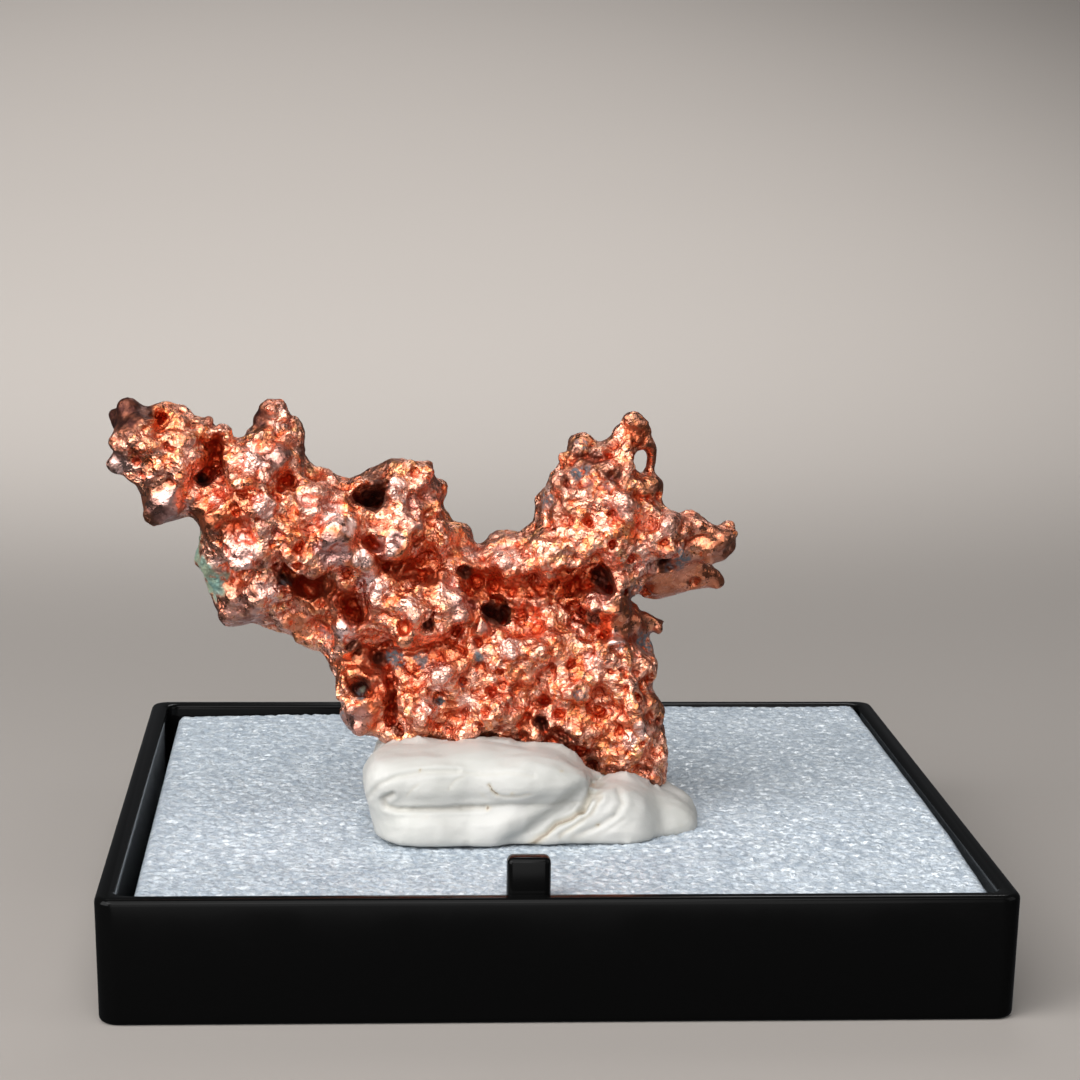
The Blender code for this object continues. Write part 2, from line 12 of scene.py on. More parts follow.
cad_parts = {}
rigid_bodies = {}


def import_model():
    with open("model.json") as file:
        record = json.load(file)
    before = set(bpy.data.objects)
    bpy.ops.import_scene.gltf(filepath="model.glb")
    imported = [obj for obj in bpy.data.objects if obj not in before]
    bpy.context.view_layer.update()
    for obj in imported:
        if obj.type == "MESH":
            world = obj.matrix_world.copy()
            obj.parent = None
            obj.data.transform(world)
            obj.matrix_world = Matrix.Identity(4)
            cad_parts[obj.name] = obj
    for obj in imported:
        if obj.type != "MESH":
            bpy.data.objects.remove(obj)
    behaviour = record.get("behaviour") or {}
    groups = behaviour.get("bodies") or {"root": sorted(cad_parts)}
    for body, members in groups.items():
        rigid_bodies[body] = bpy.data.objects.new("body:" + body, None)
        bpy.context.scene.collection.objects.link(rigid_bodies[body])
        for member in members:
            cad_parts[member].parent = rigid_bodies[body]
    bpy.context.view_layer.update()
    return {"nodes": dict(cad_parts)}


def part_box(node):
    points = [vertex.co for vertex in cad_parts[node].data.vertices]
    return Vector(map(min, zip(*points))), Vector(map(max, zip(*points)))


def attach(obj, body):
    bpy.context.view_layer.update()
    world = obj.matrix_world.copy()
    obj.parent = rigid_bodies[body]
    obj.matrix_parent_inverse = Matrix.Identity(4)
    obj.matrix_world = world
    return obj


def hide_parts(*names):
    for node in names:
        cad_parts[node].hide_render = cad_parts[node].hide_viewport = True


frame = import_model()

MM = 0.001
NOISE_SEED = 11
JOIN_GAP = 0.001

# The base, as the solid has it.
TRAY_SIDE = 57.0
TRAY_HEIGHT = 8.0
TRAY_DRAFT = 0.22
TRAY_CORNER = 1.3
WALL = 1.3
FLOOR = 1.5
TAB_X = -2.0
TAB_WIDTH = 2.7
TAB_TOP = 10.25
TAB_DEPTH = 1.2
TAB_ROOT = 3.0
FOAM_TOP = 7.6
FOAM_LEFT_DROP = 0.35
FOAM_RIGHT_RISE = 0.42

# Points on the copper are given as they are seen from the front, in millimetres: x and z on the plane
# y = SIGHT_PLANE, looking from SIGHT_FROM. Every table says what its other numbers are.
SIGHT_FROM = (-13.0, -206.9, 58.9)
SIGHT_PLANE = -5.0

# Knobs: x, z, radius, how far the knob stands out.
KNOBS = (
    (-27.9, 35.2, 0.8, 0.35), (-28.8, 34.8, 0.5, 0.2), (-24.9, 34.8, 0.6, 0.35), (-24.3, 34.3, 0.6, 0.3),
    (-26.5, 34.3, 0.5, 0.3), (-25.6, 35.1, 0.5, 0.3), (-28.3, 33.5, 0.5, 0.3), (-28.4, 32.3, 0.5, 0.3),
    (-29.1, 31.4, 0.35, 0.3), (-28.6, 31.3, 0.8, 0.3), (-27.6, 33.1, 0.6, 0.35), (-26.6, 32.8, 0.8, 0.4),
    (-26.3, 30.6, 0.6, 0.4), (-25.8, 31.4, 0.7, 0.4), (-24.5, 32.2, 0.7, 0.4), (-23.7, 33.1, 0.85, 0.5),
    (-22.5, 34.2, 0.4, 0.4), (-23.0, 33.8, 0.5, 0.3), (-21.4, 33.5, 0.75, 0.5), (-24.6, 30.4, 0.6, 0.35),
    (-25.5, 28.9, 1.3, 0.4), (-24.7, 28.4, 0.6, 0.3), (-26.5, 28.0, 0.6, 0.3), (-24.9, 29.5, 0.6, 0.4),
    (-23.4, 31.6, 0.6, 0.3), (-22.9, 28.7, 0.6, 0.35), (-22.2, 27.6, 0.8, 0.4), (-21.4, 28.6, 0.5, 0.3),
    (-21.4, 31.8, 0.4, 0.3), (-20.6, 32.4, 0.6, 0.35), (-19.7, 31.8, 0.8, 0.5), (-18.6, 31.3, 0.5, 0.4),
    (-18.9, 33.2, 0.7, 0.3), (-18.5, 35.2, 0.85, 0.4), (-17.8, 34.6, 0.9, 0.45), (-19.0, 34.6, 0.6, 0.3),
    (-16.9, 33.3, 0.6, 0.35), (-16.6, 32.2, 0.6, 0.4), (-17.8, 32.0, 0.9, 0.5), (-20.9, 30.5, 0.6, 0.4),
    (-19.8, 30.2, 0.6, 0.4), (-18.9, 29.9, 0.6, 0.45), (-21.7, 30.0, 0.45, 0.35),
    (-22.5, 29.6, 0.4, 0.35), (-20.4, 28.9, 0.5, 0.4), (-18.5, 28.6, 0.75, 0.5), (-19.6, 28.0, 0.6, 0.35),
    (-17.0, 29.1, 0.6, 0.4), (-16.2, 30.2, 0.6, 0.35), (-16.4, 28.2, 0.7, 0.4), (-15.4, 29.4, 0.7, 0.4),
    (-14.6, 30.9, 0.5, 0.3), (-15.3, 28.1, 0.6, 0.3), (-20.5, 25.6, 0.8, 0.5), (-19.7, 24.9, 0.8, 0.5),
    (-21.3, 26.3, 0.5, 0.4), (-22.0, 24.8, 0.5, 0.4), (-21.2, 24.5, 0.5, 0.45), (-18.6, 25.6, 0.6, 0.4),
    (-17.2, 25.2, 0.55, 0.4), (-17.3, 26.7, 0.6, 0.35), (-16.3, 26.6, 0.6, 0.35), (-15.8, 25.0, 0.5, 0.3),
    (-19.2, 26.9, 0.6, 0.3), (-14.3, 27.8, 0.75, 0.55), (-14.8, 29.2, 0.6, 0.3), (-13.6, 29.0, 0.6, 0.4),
    (-12.9, 27.8, 0.5, 0.35), (-12.3, 30.2, 0.7, 0.45), (-12.2, 28.3, 0.55, 0.4),
    (-13.7, 26.5, 1.35, 0.3), (-10.1, 26.1, 1.15, 0.12), (-11.2, 27.0, 0.5, 0.4),
    (-12.2, 24.9, 0.9, 0.12), (-12.5, 24.0, 0.5, 0.45), (-11.5, 23.6, 0.75, 0.15),
    (-10.8, 22.9, 0.6, 0.45), (-9.9, 29.8, 0.5, 0.35), (-9.6, 28.8, 0.5, 0.35), (-10.0, 31.3, 0.7, 0.4),
    (-8.9, 31.2, 0.8, 0.45), (-8.0, 30.8, 0.6, 0.4), (-7.2, 29.6, 0.7, 0.35), (-7.3, 28.6, 0.6, 0.4),
    (-7.0, 27.2, 0.45, 0.5), (-8.4, 28.2, 0.5, 0.35), (-5.9, 27.1, 0.75, 0.4), (-6.9, 26.3, 0.5, 0.35),
    (-6.9, 25.4, 0.55, 0.4), (-5.8, 25.5, 0.6, 0.3), (-8.3, 26.6, 0.5, 0.3), (-6.9, 23.1, 0.7, 0.35),
    (-5.6, 22.5, 0.7, 0.4), (-8.2, 23.0, 0.5, 0.3), (-5.4, 21.1, 0.65, 0.5), (-8.5, 21.4, 0.7, 0.35),
    (-8.6, 20.6, 0.5, 0.35), (-6.6, 20.2, 0.5, 0.4), (-6.6, 21.6, 0.6, 0.3), (-10.3, 20.9, 0.5, 0.35),
    (-9.0, 22.4, 0.6, 0.3), (-10.9, 21.7, 0.5, 0.35), (-12.0, 22.0, 0.5, 0.35), (-11.5, 20.9, 0.5, 0.3),
    (-12.5, 20.1, 0.6, 0.45), (-11.6, 19.7, 0.5, 0.35), (-12.0, 18.6, 0.5, 0.5), (-13.5, 20.3, 0.6, 0.5),
    (-13.6, 19.2, 0.4, 0.35), (-14.0, 22.3, 0.45, 0.5), (-14.5, 23.4, 0.5, 0.45), (-13.2, 23.1, 0.5, 0.4),
    (-9.2, 19.4, 0.7, 0.3), (-8.1, 19.3, 0.5, 0.35), (-4.3, 20.2, 0.75, 0.25), (-4.9, 19.6, 0.45, 0.4),
    (-4.1, 21.0, 0.4, 0.4), (-2.8, 25.0, 0.8, 0.5), (-2.3, 24.0, 0.5, 0.3), (-3.5, 25.8, 0.6, 0.3),
    (-1.6, 26.2, 0.6, 0.3), (-1.4, 22.9, 0.5, 0.35), (-0.7, 22.1, 0.5, 0.35), (-1.9, 20.4, 0.6, 0.45),
    (-2.2, 18.9, 0.75, 0.5), (-3.3, 17.8, 0.6, 0.4), (-1.0, 20.2, 0.6, 0.4), (-6.9, 17.1, 0.8, 0.5),
    (-6.0, 16.2, 0.6, 0.45), (-8.0, 15.7, 0.5, 0.4), (-9.0, 15.6, 0.55, 0.4), (-7.8, 14.4, 0.6, 0.4),
    (-8.9, 14.4, 0.55, 0.35), (-5.2, 15.1, 0.5, 0.4), (-4.3, 15.0, 0.6, 0.4), (-3.4, 13.8, 0.75, 0.4),
    (-5.2, 13.4, 0.6, 0.4), (-2.3, 15.3, 0.6, 0.4), (-1.0, 16.6, 0.7, 0.4), (-9.4, 17.4, 0.5, 0.35),
    (-5.3, 17.8, 0.6, 0.35), (-6.3, 18.6, 0.6, 0.35), (-8.8, 16.8, 0.5, 0.3), (-6.6, 14.0, 0.5, 0.3),
    (-7.0, 12.9, 0.5, 0.3), (-13.5, 16.8, 0.5, 0.4), (-13.8, 15.5, 0.5, 0.4), (-13.0, 14.7, 0.5, 0.35),
    (-11.7, 14.6, 0.5, 0.3), (-11.1, 15.5, 0.45, 0.35), (-11.4, 16.7, 0.45, 0.35),
    (-12.5, 17.3, 0.5, 0.35), (-12.4, 13.4, 0.8, 0.35), (1.0, 30.6, 0.6, 0.3), (0.4, 29.5, 0.6, 0.3),
    (2.7, 33.1, 0.75, 0.4), (1.3, 32.0, 0.55, 0.35), (3.6, 32.4, 0.6, 0.3), (5.0, 33.6, 0.6, 0.4),
    (6.1, 34.5, 0.9, 0.4), (5.4, 34.4, 0.45, 0.3), (6.9, 34.3, 0.4, 0.3), (5.4, 32.4, 0.7, 0.4),
    (5.6, 31.2, 0.6, 0.4), (7.3, 30.3, 0.8, 0.45), (6.3, 30.2, 0.5, 0.35), (7.3, 31.6, 0.35, 0.2),
    (4.0, 30.8, 0.5, 0.3), (3.0, 29.6, 0.6, 0.35), (4.2, 29.3, 0.6, 0.35), (1.9, 28.4, 0.6, 0.35),
    (2.8, 28.3, 0.5, 0.3), (5.5, 28.6, 0.7, 0.4), (4.0, 27.2, 0.7, 0.45), (3.6, 26.0, 0.6, 0.4),
    (0.2, 26.6, 0.6, 0.35), (-0.3, 25.8, 0.7, 0.4), (1.2, 26.9, 0.6, 0.35), (2.0, 25.7, 0.5, 0.3),
    (2.9, 25.2, 0.6, 0.45), (1.3, 24.6, 0.6, 0.45), (0.0, 24.6, 0.55, 0.35), (5.4, 25.1, 0.5, 0.35),
    (6.0, 27.6, 0.7, 0.35), (7.3, 28.4, 0.7, 0.35), (8.3, 27.1, 0.9, 0.5), (7.3, 26.3, 0.7, 0.4),
    (8.6, 25.9, 0.7, 0.4), (9.5, 26.9, 0.6, 0.35), (9.8, 28.2, 0.6, 0.3), (6.9, 24.6, 0.7, 0.4),
    (7.8, 24.4, 0.5, 0.35), (5.6, 23.6, 0.6, 0.35), (6.3, 24.0, 0.5, 0.35), (10.6, 27.2, 0.6, 0.3),
    (11.4, 27.0, 0.5, 0.3), (12.5, 27.4, 0.45, 0.3), (12.2, 26.4, 0.8, 0.4), (11.1, 25.8, 0.8, 0.45),
    (10.9, 24.0, 0.6, 0.3), (12.2, 23.5, 0.4, 0.2), (3.9, 22.1, 0.8, 0.55), (4.9, 22.3, 0.6, 0.45),
    (3.2, 22.2, 0.5, 0.4), (5.4, 21.0, 0.9, 0.4), (7.6, 20.7, 0.45, 0.3), (6.5, 20.8, 0.5, 0.3),
    (1.6, 20.9, 0.7, 0.4), (0.7, 20.7, 0.5, 0.3), (2.6, 20.3, 0.6, 0.35), (1.0, 19.3, 0.7, 0.35),
    (2.9, 18.6, 0.7, 0.4), (3.9, 17.9, 0.7, 0.45), (0.6, 18.0, 0.6, 0.35), (1.8, 17.6, 0.6, 0.35),
    (0.9, 16.1, 0.6, 0.4), (2.9, 16.3, 0.5, 0.35), (4.1, 19.0, 0.6, 0.35), (5.9, 18.0, 0.6, 0.35),
    (6.6, 18.4, 0.5, 0.3), (7.6, 18.0, 0.5, 0.35), (5.4, 16.8, 0.6, 0.35), (6.9, 16.9, 0.5, 0.35),
    (4.2, 15.3, 0.7, 0.35), (3.1, 14.2, 0.7, 0.4), (5.2, 14.0, 0.6, 0.35), (2.6, 13.2, 0.6, 0.3),
    (7.6, 15.2, 0.6, 0.45), (5.0, 12.6, 0.5, 0.4), (6.2, 12.4, 0.5, 0.4), (7.2, 12.6, 0.4, 0.35),
    (6.9, 13.6, 0.4, 0.35), (4.4, 11.4, 0.5, 0.3), (5.9, 11.4, 0.5, 0.35), (7.4, 10.7, 0.5, 0.35),
    (8.6, 11.3, 0.4, 0.3), (-18.1, 34.9, 1.15, 0.35), (-18.9, 34.4, 0.9, 0.35), (-17.5, 34.8, 0.9, 0.4),
    (-16.6, 32.4, 0.9, 0.3), (12.0, 25.5, 0.9, 0.3), (11.4, 25.3, 0.9, 0.3), (12.6, 25.9, 0.8, 0.3),
    (12.8, 26.6, 0.6, 0.3), (12.0, 23.4, 0.5, 0.25), (8.4, 12.2, 0.4, 0.25), (-19.2, 23.3, 0.7, 0.4),
    (-18.5, 22.7, 0.65, 0.4), (-20.9, 22.3, 0.8, 0.3), (-19.6, 21.6, 0.7, 0.3), (-17.3, 20.6, 0.6, 0.3),
    (-16.3, 19.5, 0.6, 0.3), (-15.4, 19.4, 0.5, 0.3),
)

# Links of thin strands and horns: x, y, z of the middle and radius, in millimetres.
STRANDS = (
    (7.1, -5.6, 33.3, 0.42), (7.25, -5.45, 32.95, 0.36), (7.32, -5.35, 32.6, 0.34),
    (7.34, -5.3, 32.25, 0.34), (7.3, -5.2, 31.9, 0.35), (7.2, -5.1, 31.5, 0.42),
    (7.05, -3.6, 20.75, 0.52), (7.45, -3.5, 20.57, 0.48), (7.8, -3.5, 20.3, 0.45),
    (8.05, -3.5, 20.05, 0.42), (8.14, -3.5, 19.88, 0.38), (11.0, -4.2, 24.05, 0.55),
    (11.45, -3.8, 23.95, 0.58), (11.85, -3.5, 23.7, 0.55), (12.2, -3.3, 23.35, 0.48),
)

# Pits: x, z, radius, depth.
PITS = (
    (-25.7, 34.5, 0.3, 0.9), (-27.2, 31.5, 0.3, 0.5), (-26.8, 30.7, 0.25, 0.4), (-25.2, 32.6, 0.38, 0.6),
    (-25.0, 30.3, 0.3, 0.4), (-21.5, 33.3, 0.25, 0.5), (-22.9, 30.4, 0.4, 1.2), (-22.0, 31.6, 0.35, 0.5),
    (-21.9, 32.5, 0.3, 0.4), (-22.3, 31.0, 0.4, 0.6), (-21.8, 30.3, 0.35, 0.6), (-20.5, 29.4, 0.35, 0.7),
    (-17.9, 29.3, 0.28, 0.6), (-17.0, 30.3, 0.3, 0.6), (-17.5, 29.9, 0.3, 0.6), (-19.6, 29.0, 0.3, 0.5),
    (-20.8, 28.4, 0.35, 0.5), (-18.3, 26.0, 0.25, 0.5), (-16.4, 25.7, 0.3, 0.6), (-19.8, 25.3, 0.12, 0.3),
    (-17.9, 26.9, 0.3, 0.5), (-21.3, 25.4, 0.3, 0.5), (-21.9, 25.9, 0.25, 0.4), (-17.4, 23.9, 0.35, 0.9),
    (-17.4, 23.2, 0.38, 0.9), (-18.0, 24.6, 0.3, 0.6), (-19.0, 24.5, 0.3, 0.6), (-16.6, 24.5, 0.35, 0.7),
    (-11.7, 29.0, 0.75, 2.2), (-11.1, 29.3, 0.6, 2.0), (-10.9, 30.1, 0.45, 1.2), (-12.2, 29.3, 0.3, 1.2),
    (-11.3, 25.9, 0.4, 0.9), (-11.6, 26.3, 0.3, 0.7), (-10.3, 24.5, 0.4, 0.9), (-9.6, 24.4, 0.4, 0.9),
    (-8.9, 24.3, 0.35, 0.8), (-8.2, 24.0, 0.35, 0.7), (-12.5, 23.1, 0.2, 0.5), (-12.3, 23.5, 0.18, 0.5),
    (-9.3, 20.3, 0.4, 0.8), (-7.6, 20.3, 0.45, 0.9), (-7.3, 20.9, 0.3, 0.6), (-8.3, 26.0, 0.3, 0.5),
    (-7.5, 24.3, 0.3, 0.5), (-5.2, 24.1, 0.45, 0.9), (-4.4, 23.5, 0.6, 0.9), (-3.3, 23.3, 0.6, 0.8),
    (-4.9, 22.8, 0.4, 0.8), (-2.3, 22.9, 0.5, 0.6), (-3.6, 21.5, 0.6, 1.5), (-2.9, 21.3, 0.6, 1.5),
    (-2.5, 20.9, 0.4, 1.0), (-4.5, 21.9, 0.3, 0.8), (-16.0, 23.3, 0.5, 0.5), (-15.4, 22.8, 0.6, 0.6),
    (-14.9, 22.2, 0.5, 0.5), (-13.4, 22.1, 0.5, 0.7), (-12.9, 21.5, 0.5, 0.9), (-12.5, 21.1, 0.35, 0.7),
    (-12.8, 19.0, 0.35, 0.8), (-12.4, 18.7, 0.3, 0.7), (-10.8, 19.1, 0.3, 0.6), (-13.1, 19.3, 0.25, 0.5),
    (-14.7, 20.9, 0.4, 0.9), (-11.0, 18.1, 0.4, 0.7), (-12.3, 16.1, 0.7, 1.0), (-10.3, 16.2, 0.3, 1.0),
    (-10.3, 15.4, 0.35, 1.1), (-10.2, 14.6, 0.35, 1.1), (-10.2, 13.8, 0.3, 0.9), (-9.7, 13.1, 0.35, 0.8),
    (-3.4, 15.9, 0.32, 0.6), (-3.7, 14.5, 0.3, 0.6), (-1.2, 19.7, 0.25, 0.4), (-1.3, 17.1, 0.25, 0.4),
    (-5.2, 16.5, 0.3, 0.5), (-6.9, 15.5, 0.38, 0.5), (-8.4, 17.6, 0.3, 0.4), (-2.9, 17.3, 0.25, 0.4),
    (-4.4, 19.3, 0.3, 0.6), (-5.9, 20.0, 0.3, 0.5), (0.3, 15.2, 0.35, 0.7), (0.0, 13.8, 0.4, 1.0),
    (0.2, 13.3, 0.35, 0.9), (-0.8, 14.3, 0.35, 0.7), (-1.2, 13.5, 0.35, 0.7), (1.2, 13.0, 0.4, 0.8),
    (2.1, 12.3, 0.4, 0.8), (2.9, 11.6, 0.4, 0.8), (3.5, 10.7, 0.4, 0.8), (1.2, 14.4, 0.4, 0.6),
    (1.4, 16.5, 0.2, 0.4), (2.6, 15.7, 0.4, 0.5), (2.1, 17.9, 0.35, 0.6), (3.5, 18.5, 0.25, 0.5),
    (5.1, 18.8, 0.3, 0.7), (5.6, 18.9, 0.3, 0.6), (5.7, 17.0, 0.25, 0.5), (5.8, 16.2, 0.25, 0.5),
    (6.9, 15.6, 0.4, 0.8), (7.2, 14.6, 0.4, 0.8), (7.4, 12.9, 0.35, 0.8), (7.0, 12.2, 0.25, 0.5),
    (8.0, 13.8, 0.35, 0.6), (3.1, 21.2, 0.35, 0.8), (3.6, 20.9, 0.4, 0.9), (2.6, 21.5, 0.3, 0.6),
    (4.4, 20.0, 0.35, 0.7), (4.2, 23.4, 0.4, 1.7), (3.7, 24.0, 0.3, 0.9), (2.8, 24.0, 0.3, 0.8),
    (2.1, 24.1, 0.3, 0.8), (1.6, 24.2, 0.3, 0.8), (0.9, 23.3, 0.5, 0.8), (2.0, 23.1, 0.6, 0.9),
    (3.0, 23.2, 0.5, 0.9), (0.2, 22.9, 0.5, 0.6), (-0.6, 23.4, 0.5, 0.6), (4.9, 26.0, 0.25, 0.7),
    (3.0, 27.6, 0.25, 0.4), (6.1, 25.0, 0.4, 0.7), (6.4, 24.4, 0.3, 0.5), (4.7, 30.8, 0.3, 0.3),
    (4.6, 28.2, 0.2, 0.5), (1.9, 29.0, 0.3, 0.35), (1.5, 30.3, 0.35, 0.35), (1.7, 31.2, 0.3, 0.3),
    (8.3, 24.9, 0.4, 0.8), (8.7, 24.4, 0.3, 0.6), (5.7, 22.8, 0.4, 0.8), (6.3, 22.2, 0.35, 0.7),
    (6.9, 22.6, 0.3, 0.6), (0.9, 24.0, 0.3, 0.6), (7.3, 29.1, 0.25, 0.4), (7.9, 29.3, 0.25, 0.5),
    (10.3, 23.4, 0.4, 0.4), (-14.1, 25.4, 0.75, 0.35), (-9.8, 26.3, 0.5, 0.3), (-12.1, 24.7, 0.4, 0.2),
    (-11.7, 23.3, 0.4, 0.2),
)

# Long crevices, as points x and z, then width, depth and redness, which is the strength of the painted red
# shade in the crevice.
CREVICES = (
    (((-21.9, 33.3), (-22.0, 32.2), (-22.4, 31.2), (-22.8, 30.4)), 0.32, 0.4, 1.0),
    (((-22.6, 27.6), (-21.5, 27.2), (-20.4, 27.4)), 0.5, 0.2, 0.9),
    (((-17.0, 30.6), (-17.6, 29.9)), 0.35, 0.5, 1.0),
    (((-11.9, 26.4), (-11.3, 25.8)), 0.35, 0.5, 1.0),
    (((-10.8, 24.7), (-9.6, 24.2), (-8.2, 23.9), (-7.3, 23.7)), 0.42, 0.6, 1.0),
    (((-6.6, 23.5), (-5.2, 22.9), (-4.5, 21.6), (-4.6, 20.4), (-5.1, 19.4)), 0.22, 0.45, 0.5),
    (((-4.3, 19.0), (-3.6, 19.7), (-3.4, 20.4)), 0.22, 0.45, 0.6),
    (((-11.3, 18.8), (-9.7, 18.6), (-7.9, 18.8), (-6.4, 19.2), (-5.4, 18.8)), 0.25, 0.45, 0.7),
    (((-16.3, 23.2), (-15.0, 23.3), (-13.9, 22.6), (-12.9, 21.4), (-12.3, 21.1)), 0.7, 0.35, 1.0),
    (((-4.4, 23.4), (-3.1, 22.8), (-2.0, 22.9), (-0.5, 23.0)), 0.9, 0.35, 0.55),
    (((-3.8, 21.7), (-2.8, 21.3), (-1.7, 21.3), (-0.8, 21.6)), 0.35, 0.7, 0.6),
    (((-11.9, 18.9), (-10.8, 17.8), (-10.1, 16.4), (-10.0, 15.1), (-10.3, 14.0)), 0.38, 0.6, 1.0),
    (((-13.7, 18.0), (-12.0, 17.7), (-11.1, 16.4), (-11.3, 15.1), (-12.2, 14.5)), 0.3, 0.25, 0.8),
    (((-1.1, 12.8), (-1.0, 13.9), (-0.4, 15.1), (0.3, 15.4)), 0.3, 0.4, 0.5),
    (((0.7, 12.9), (2.0, 11.9), (2.9, 11.2)), 0.45, 0.45, 0.5),
    (((1.5, 23.7), (2.9, 23.2), (4.6, 23.3)), 0.5, 0.4, 0.8),
    (((2.8, 21.3), (4.4, 19.7), (6.3, 19.5)), 0.32, 0.4, 0.7),
    (((7.0, 16.5), (7.1, 15.0), (7.6, 13.9)), 0.28, 0.4, 0.4),
    (((1.9, 31.8), (2.6, 32.1), (3.4, 31.9), (4.1, 32.1)), 0.24, 0.4, 0.8),
    (((5.9, 29.4), (6.5, 29.5), (7.1, 29.3)), 0.16, 0.45, 0.7),
    (((6.0, 33.9), (6.6, 33.4), (6.5, 32.8)), 0.3, 0.2, 0.9),
    (((3.9, 24.2), (4.4, 23.4), (4.3, 22.7)), 0.45, 0.6, 0.4),
    (((8.3, 26.1), (8.8, 25.2), (8.2, 24.6), (7.0, 24.0)), 0.25, 0.35, 0.4),
    (((9.9, 28.0), (9.4, 26.9), (9.8, 26.3), (10.9, 26.6)), 0.2, 0.35, 0.5),
)

# Colours and finishes in spots: x, z, radius, strength. The first are smooth, worn skin.
SMOOTH_SPOTS = (
    (-13.7, 26.5, 1.4, 0.85), (-10.1, 26.1, 1.25, 0.75), (-12.2, 24.8, 1.0, 0.7), (-11.6, 23.6, 0.8, 0.7),
    (-28.7, 31.4, 0.8, 0.8), (-28.0, 35.0, 1.5, 1.0), (-26.9, 35.2, 0.7, 0.8), (-25.5, 28.8, 1.6, 0.85),
    (-19.1, 34.6, 0.9, 1.0), (-4.3, 20.2, 0.9, 1.0), (-9.0, 19.3, 1.3, 0.9), (11.6, 26.2, 1.6, 0.85),
    (9.5, 23.5, 2.2, 1.0), (11.6, 23.6, 1.2, 0.9), (7.4, 20.7, 1.3, 1.0), (5.4, 20.9, 1.4, 0.9),
    (7.3, 30.2, 0.9, 0.7), (-20.6, 21.6, 1.8, 0.55), (-16.6, 19.8, 1.3, 0.6), (-17.8, 32.1, 1.0, 0.7),
    (-23.7, 33.1, 0.7, 0.6), (-22.6, 27.6, 1.1, 0.8), (5.1, 19.4, 0.8, 1.0), (6.1, 34.6, 1.0, 0.6),
    (-12.3, 13.7, 1.4, 0.8), (-12.2, 17.8, 1.6, 0.7), (-13.6, 20.2, 0.9, 0.8), (-5.7, 22.6, 0.8, 0.5),
    (-6.9, 23.2, 0.8, 0.5), (-15.4, 22.8, 1.2, 0.6), (-9.4, 24.4, 1.1, 0.7), (-7.2, 29.6, 0.7, 0.5),
    (6.9, 13.8, 0.9, 0.6), (7.9, 14.8, 0.8, 0.6), (2.7, 33.2, 0.6, 0.6), (-1.2, 13.6, 0.8, 0.6),
    (-5.9, 27.1, 0.7, 0.5), (1.2, 20.6, 0.7, 0.4), (7.3, 32.3, 0.9, 1.0), (7.2, 31.4, 0.6, 0.8),
    (8.0, 20.2, 0.9, 1.0), (12.2, 23.5, 0.8, 1.0),
)
# Brown to nearly black skin: real tarnish on some knobs, and painted shade that darkens the deepest pits
# and holes.
TARNISH_AND_PIT_SHADE_SPOTS = (
    (-28.4, 35.0, 1.5, 1.0), (-27.0, 34.9, 0.9, 0.95), (-19.1, 34.6, 0.7, 1.0), (-18.8, 35.4, 0.65, 1.0),
    (-18.2, 35.9, 0.5, 0.9), (-12.2, 16.1, 0.7, 1.0), (-16.1, 32.4, 0.5, 0.8), (-11.3, 31.3, 1.0, 0.75),
    (-12.5, 30.9, 0.5, 0.7), (-10.2, 31.9, 0.6, 0.7), (-7.4, 31.5, 0.5, 0.6), (-26.6, 27.6, 0.9, 0.6),
    (-24.9, 27.6, 0.9, 0.5), (3.0, 31.9, 0.9, 0.7), (1.6, 32.6, 0.6, 0.6), (1.3, 30.2, 0.6, 0.6),
    (8.1, 30.0, 0.5, 0.7), (1.0, 28.4, 0.8, 0.5), (8.2, 24.8, 0.6, 0.8), (-2.6, 26.9, 0.9, 0.5),
    (4.9, 30.8, 0.5, 0.7), (-18.2, 30.9, 0.5, 0.4), (-14.6, 31.3, 0.5, 0.5), (-22.6, 34.4, 0.5, 0.6),
    (-28.3, 33.4, 0.5, 0.5), (-28.6, 32.2, 0.4, 0.5), (8.1, 17.7, 0.5, 0.8), (7.3, 15.4, 0.5, 0.5),
    (8.4, 13.5, 0.5, 0.7), (-17.4, 23.6, 0.6, 0.9), (-25.0, 30.4, 0.4, 0.5), (-12.4, 13.0, 1.0, 0.5),
    (12.4, 25.3, 0.8, 0.5), (10.3, 28.6, 0.6, 0.5), (-11.4, 29.2, 0.9, 1.0), (-10.9, 30.2, 0.6, 0.9),
    (-22.9, 30.4, 0.45, 1.0), (-3.2, 21.3, 0.9, 0.9), (4.1, 23.8, 0.7, 0.9), (-5.2, 24.1, 0.5, 0.8),
    (-20.3, 20.2, 1.0, 0.5), (0.0, 13.6, 0.5, 0.8), (1.6, 12.5, 0.7, 0.7), (3.1, 10.9, 0.7, 0.6),
    (-9.7, 13.1, 0.5, 0.7), (-11.0, 18.2, 0.5, 0.8), (-12.7, 19.0, 0.5, 0.8), (3.5, 21.1, 0.5, 0.8),
    (6.0, 22.4, 0.6, 0.7), (-7.6, 20.4, 0.4, 0.8), (4.2, 33.0, 0.6, 0.45), (3.9, 31.3, 0.6, 0.5),
    (2.2, 31.6, 0.5, 0.5), (3.3, 29.6, 0.5, 0.45),
)
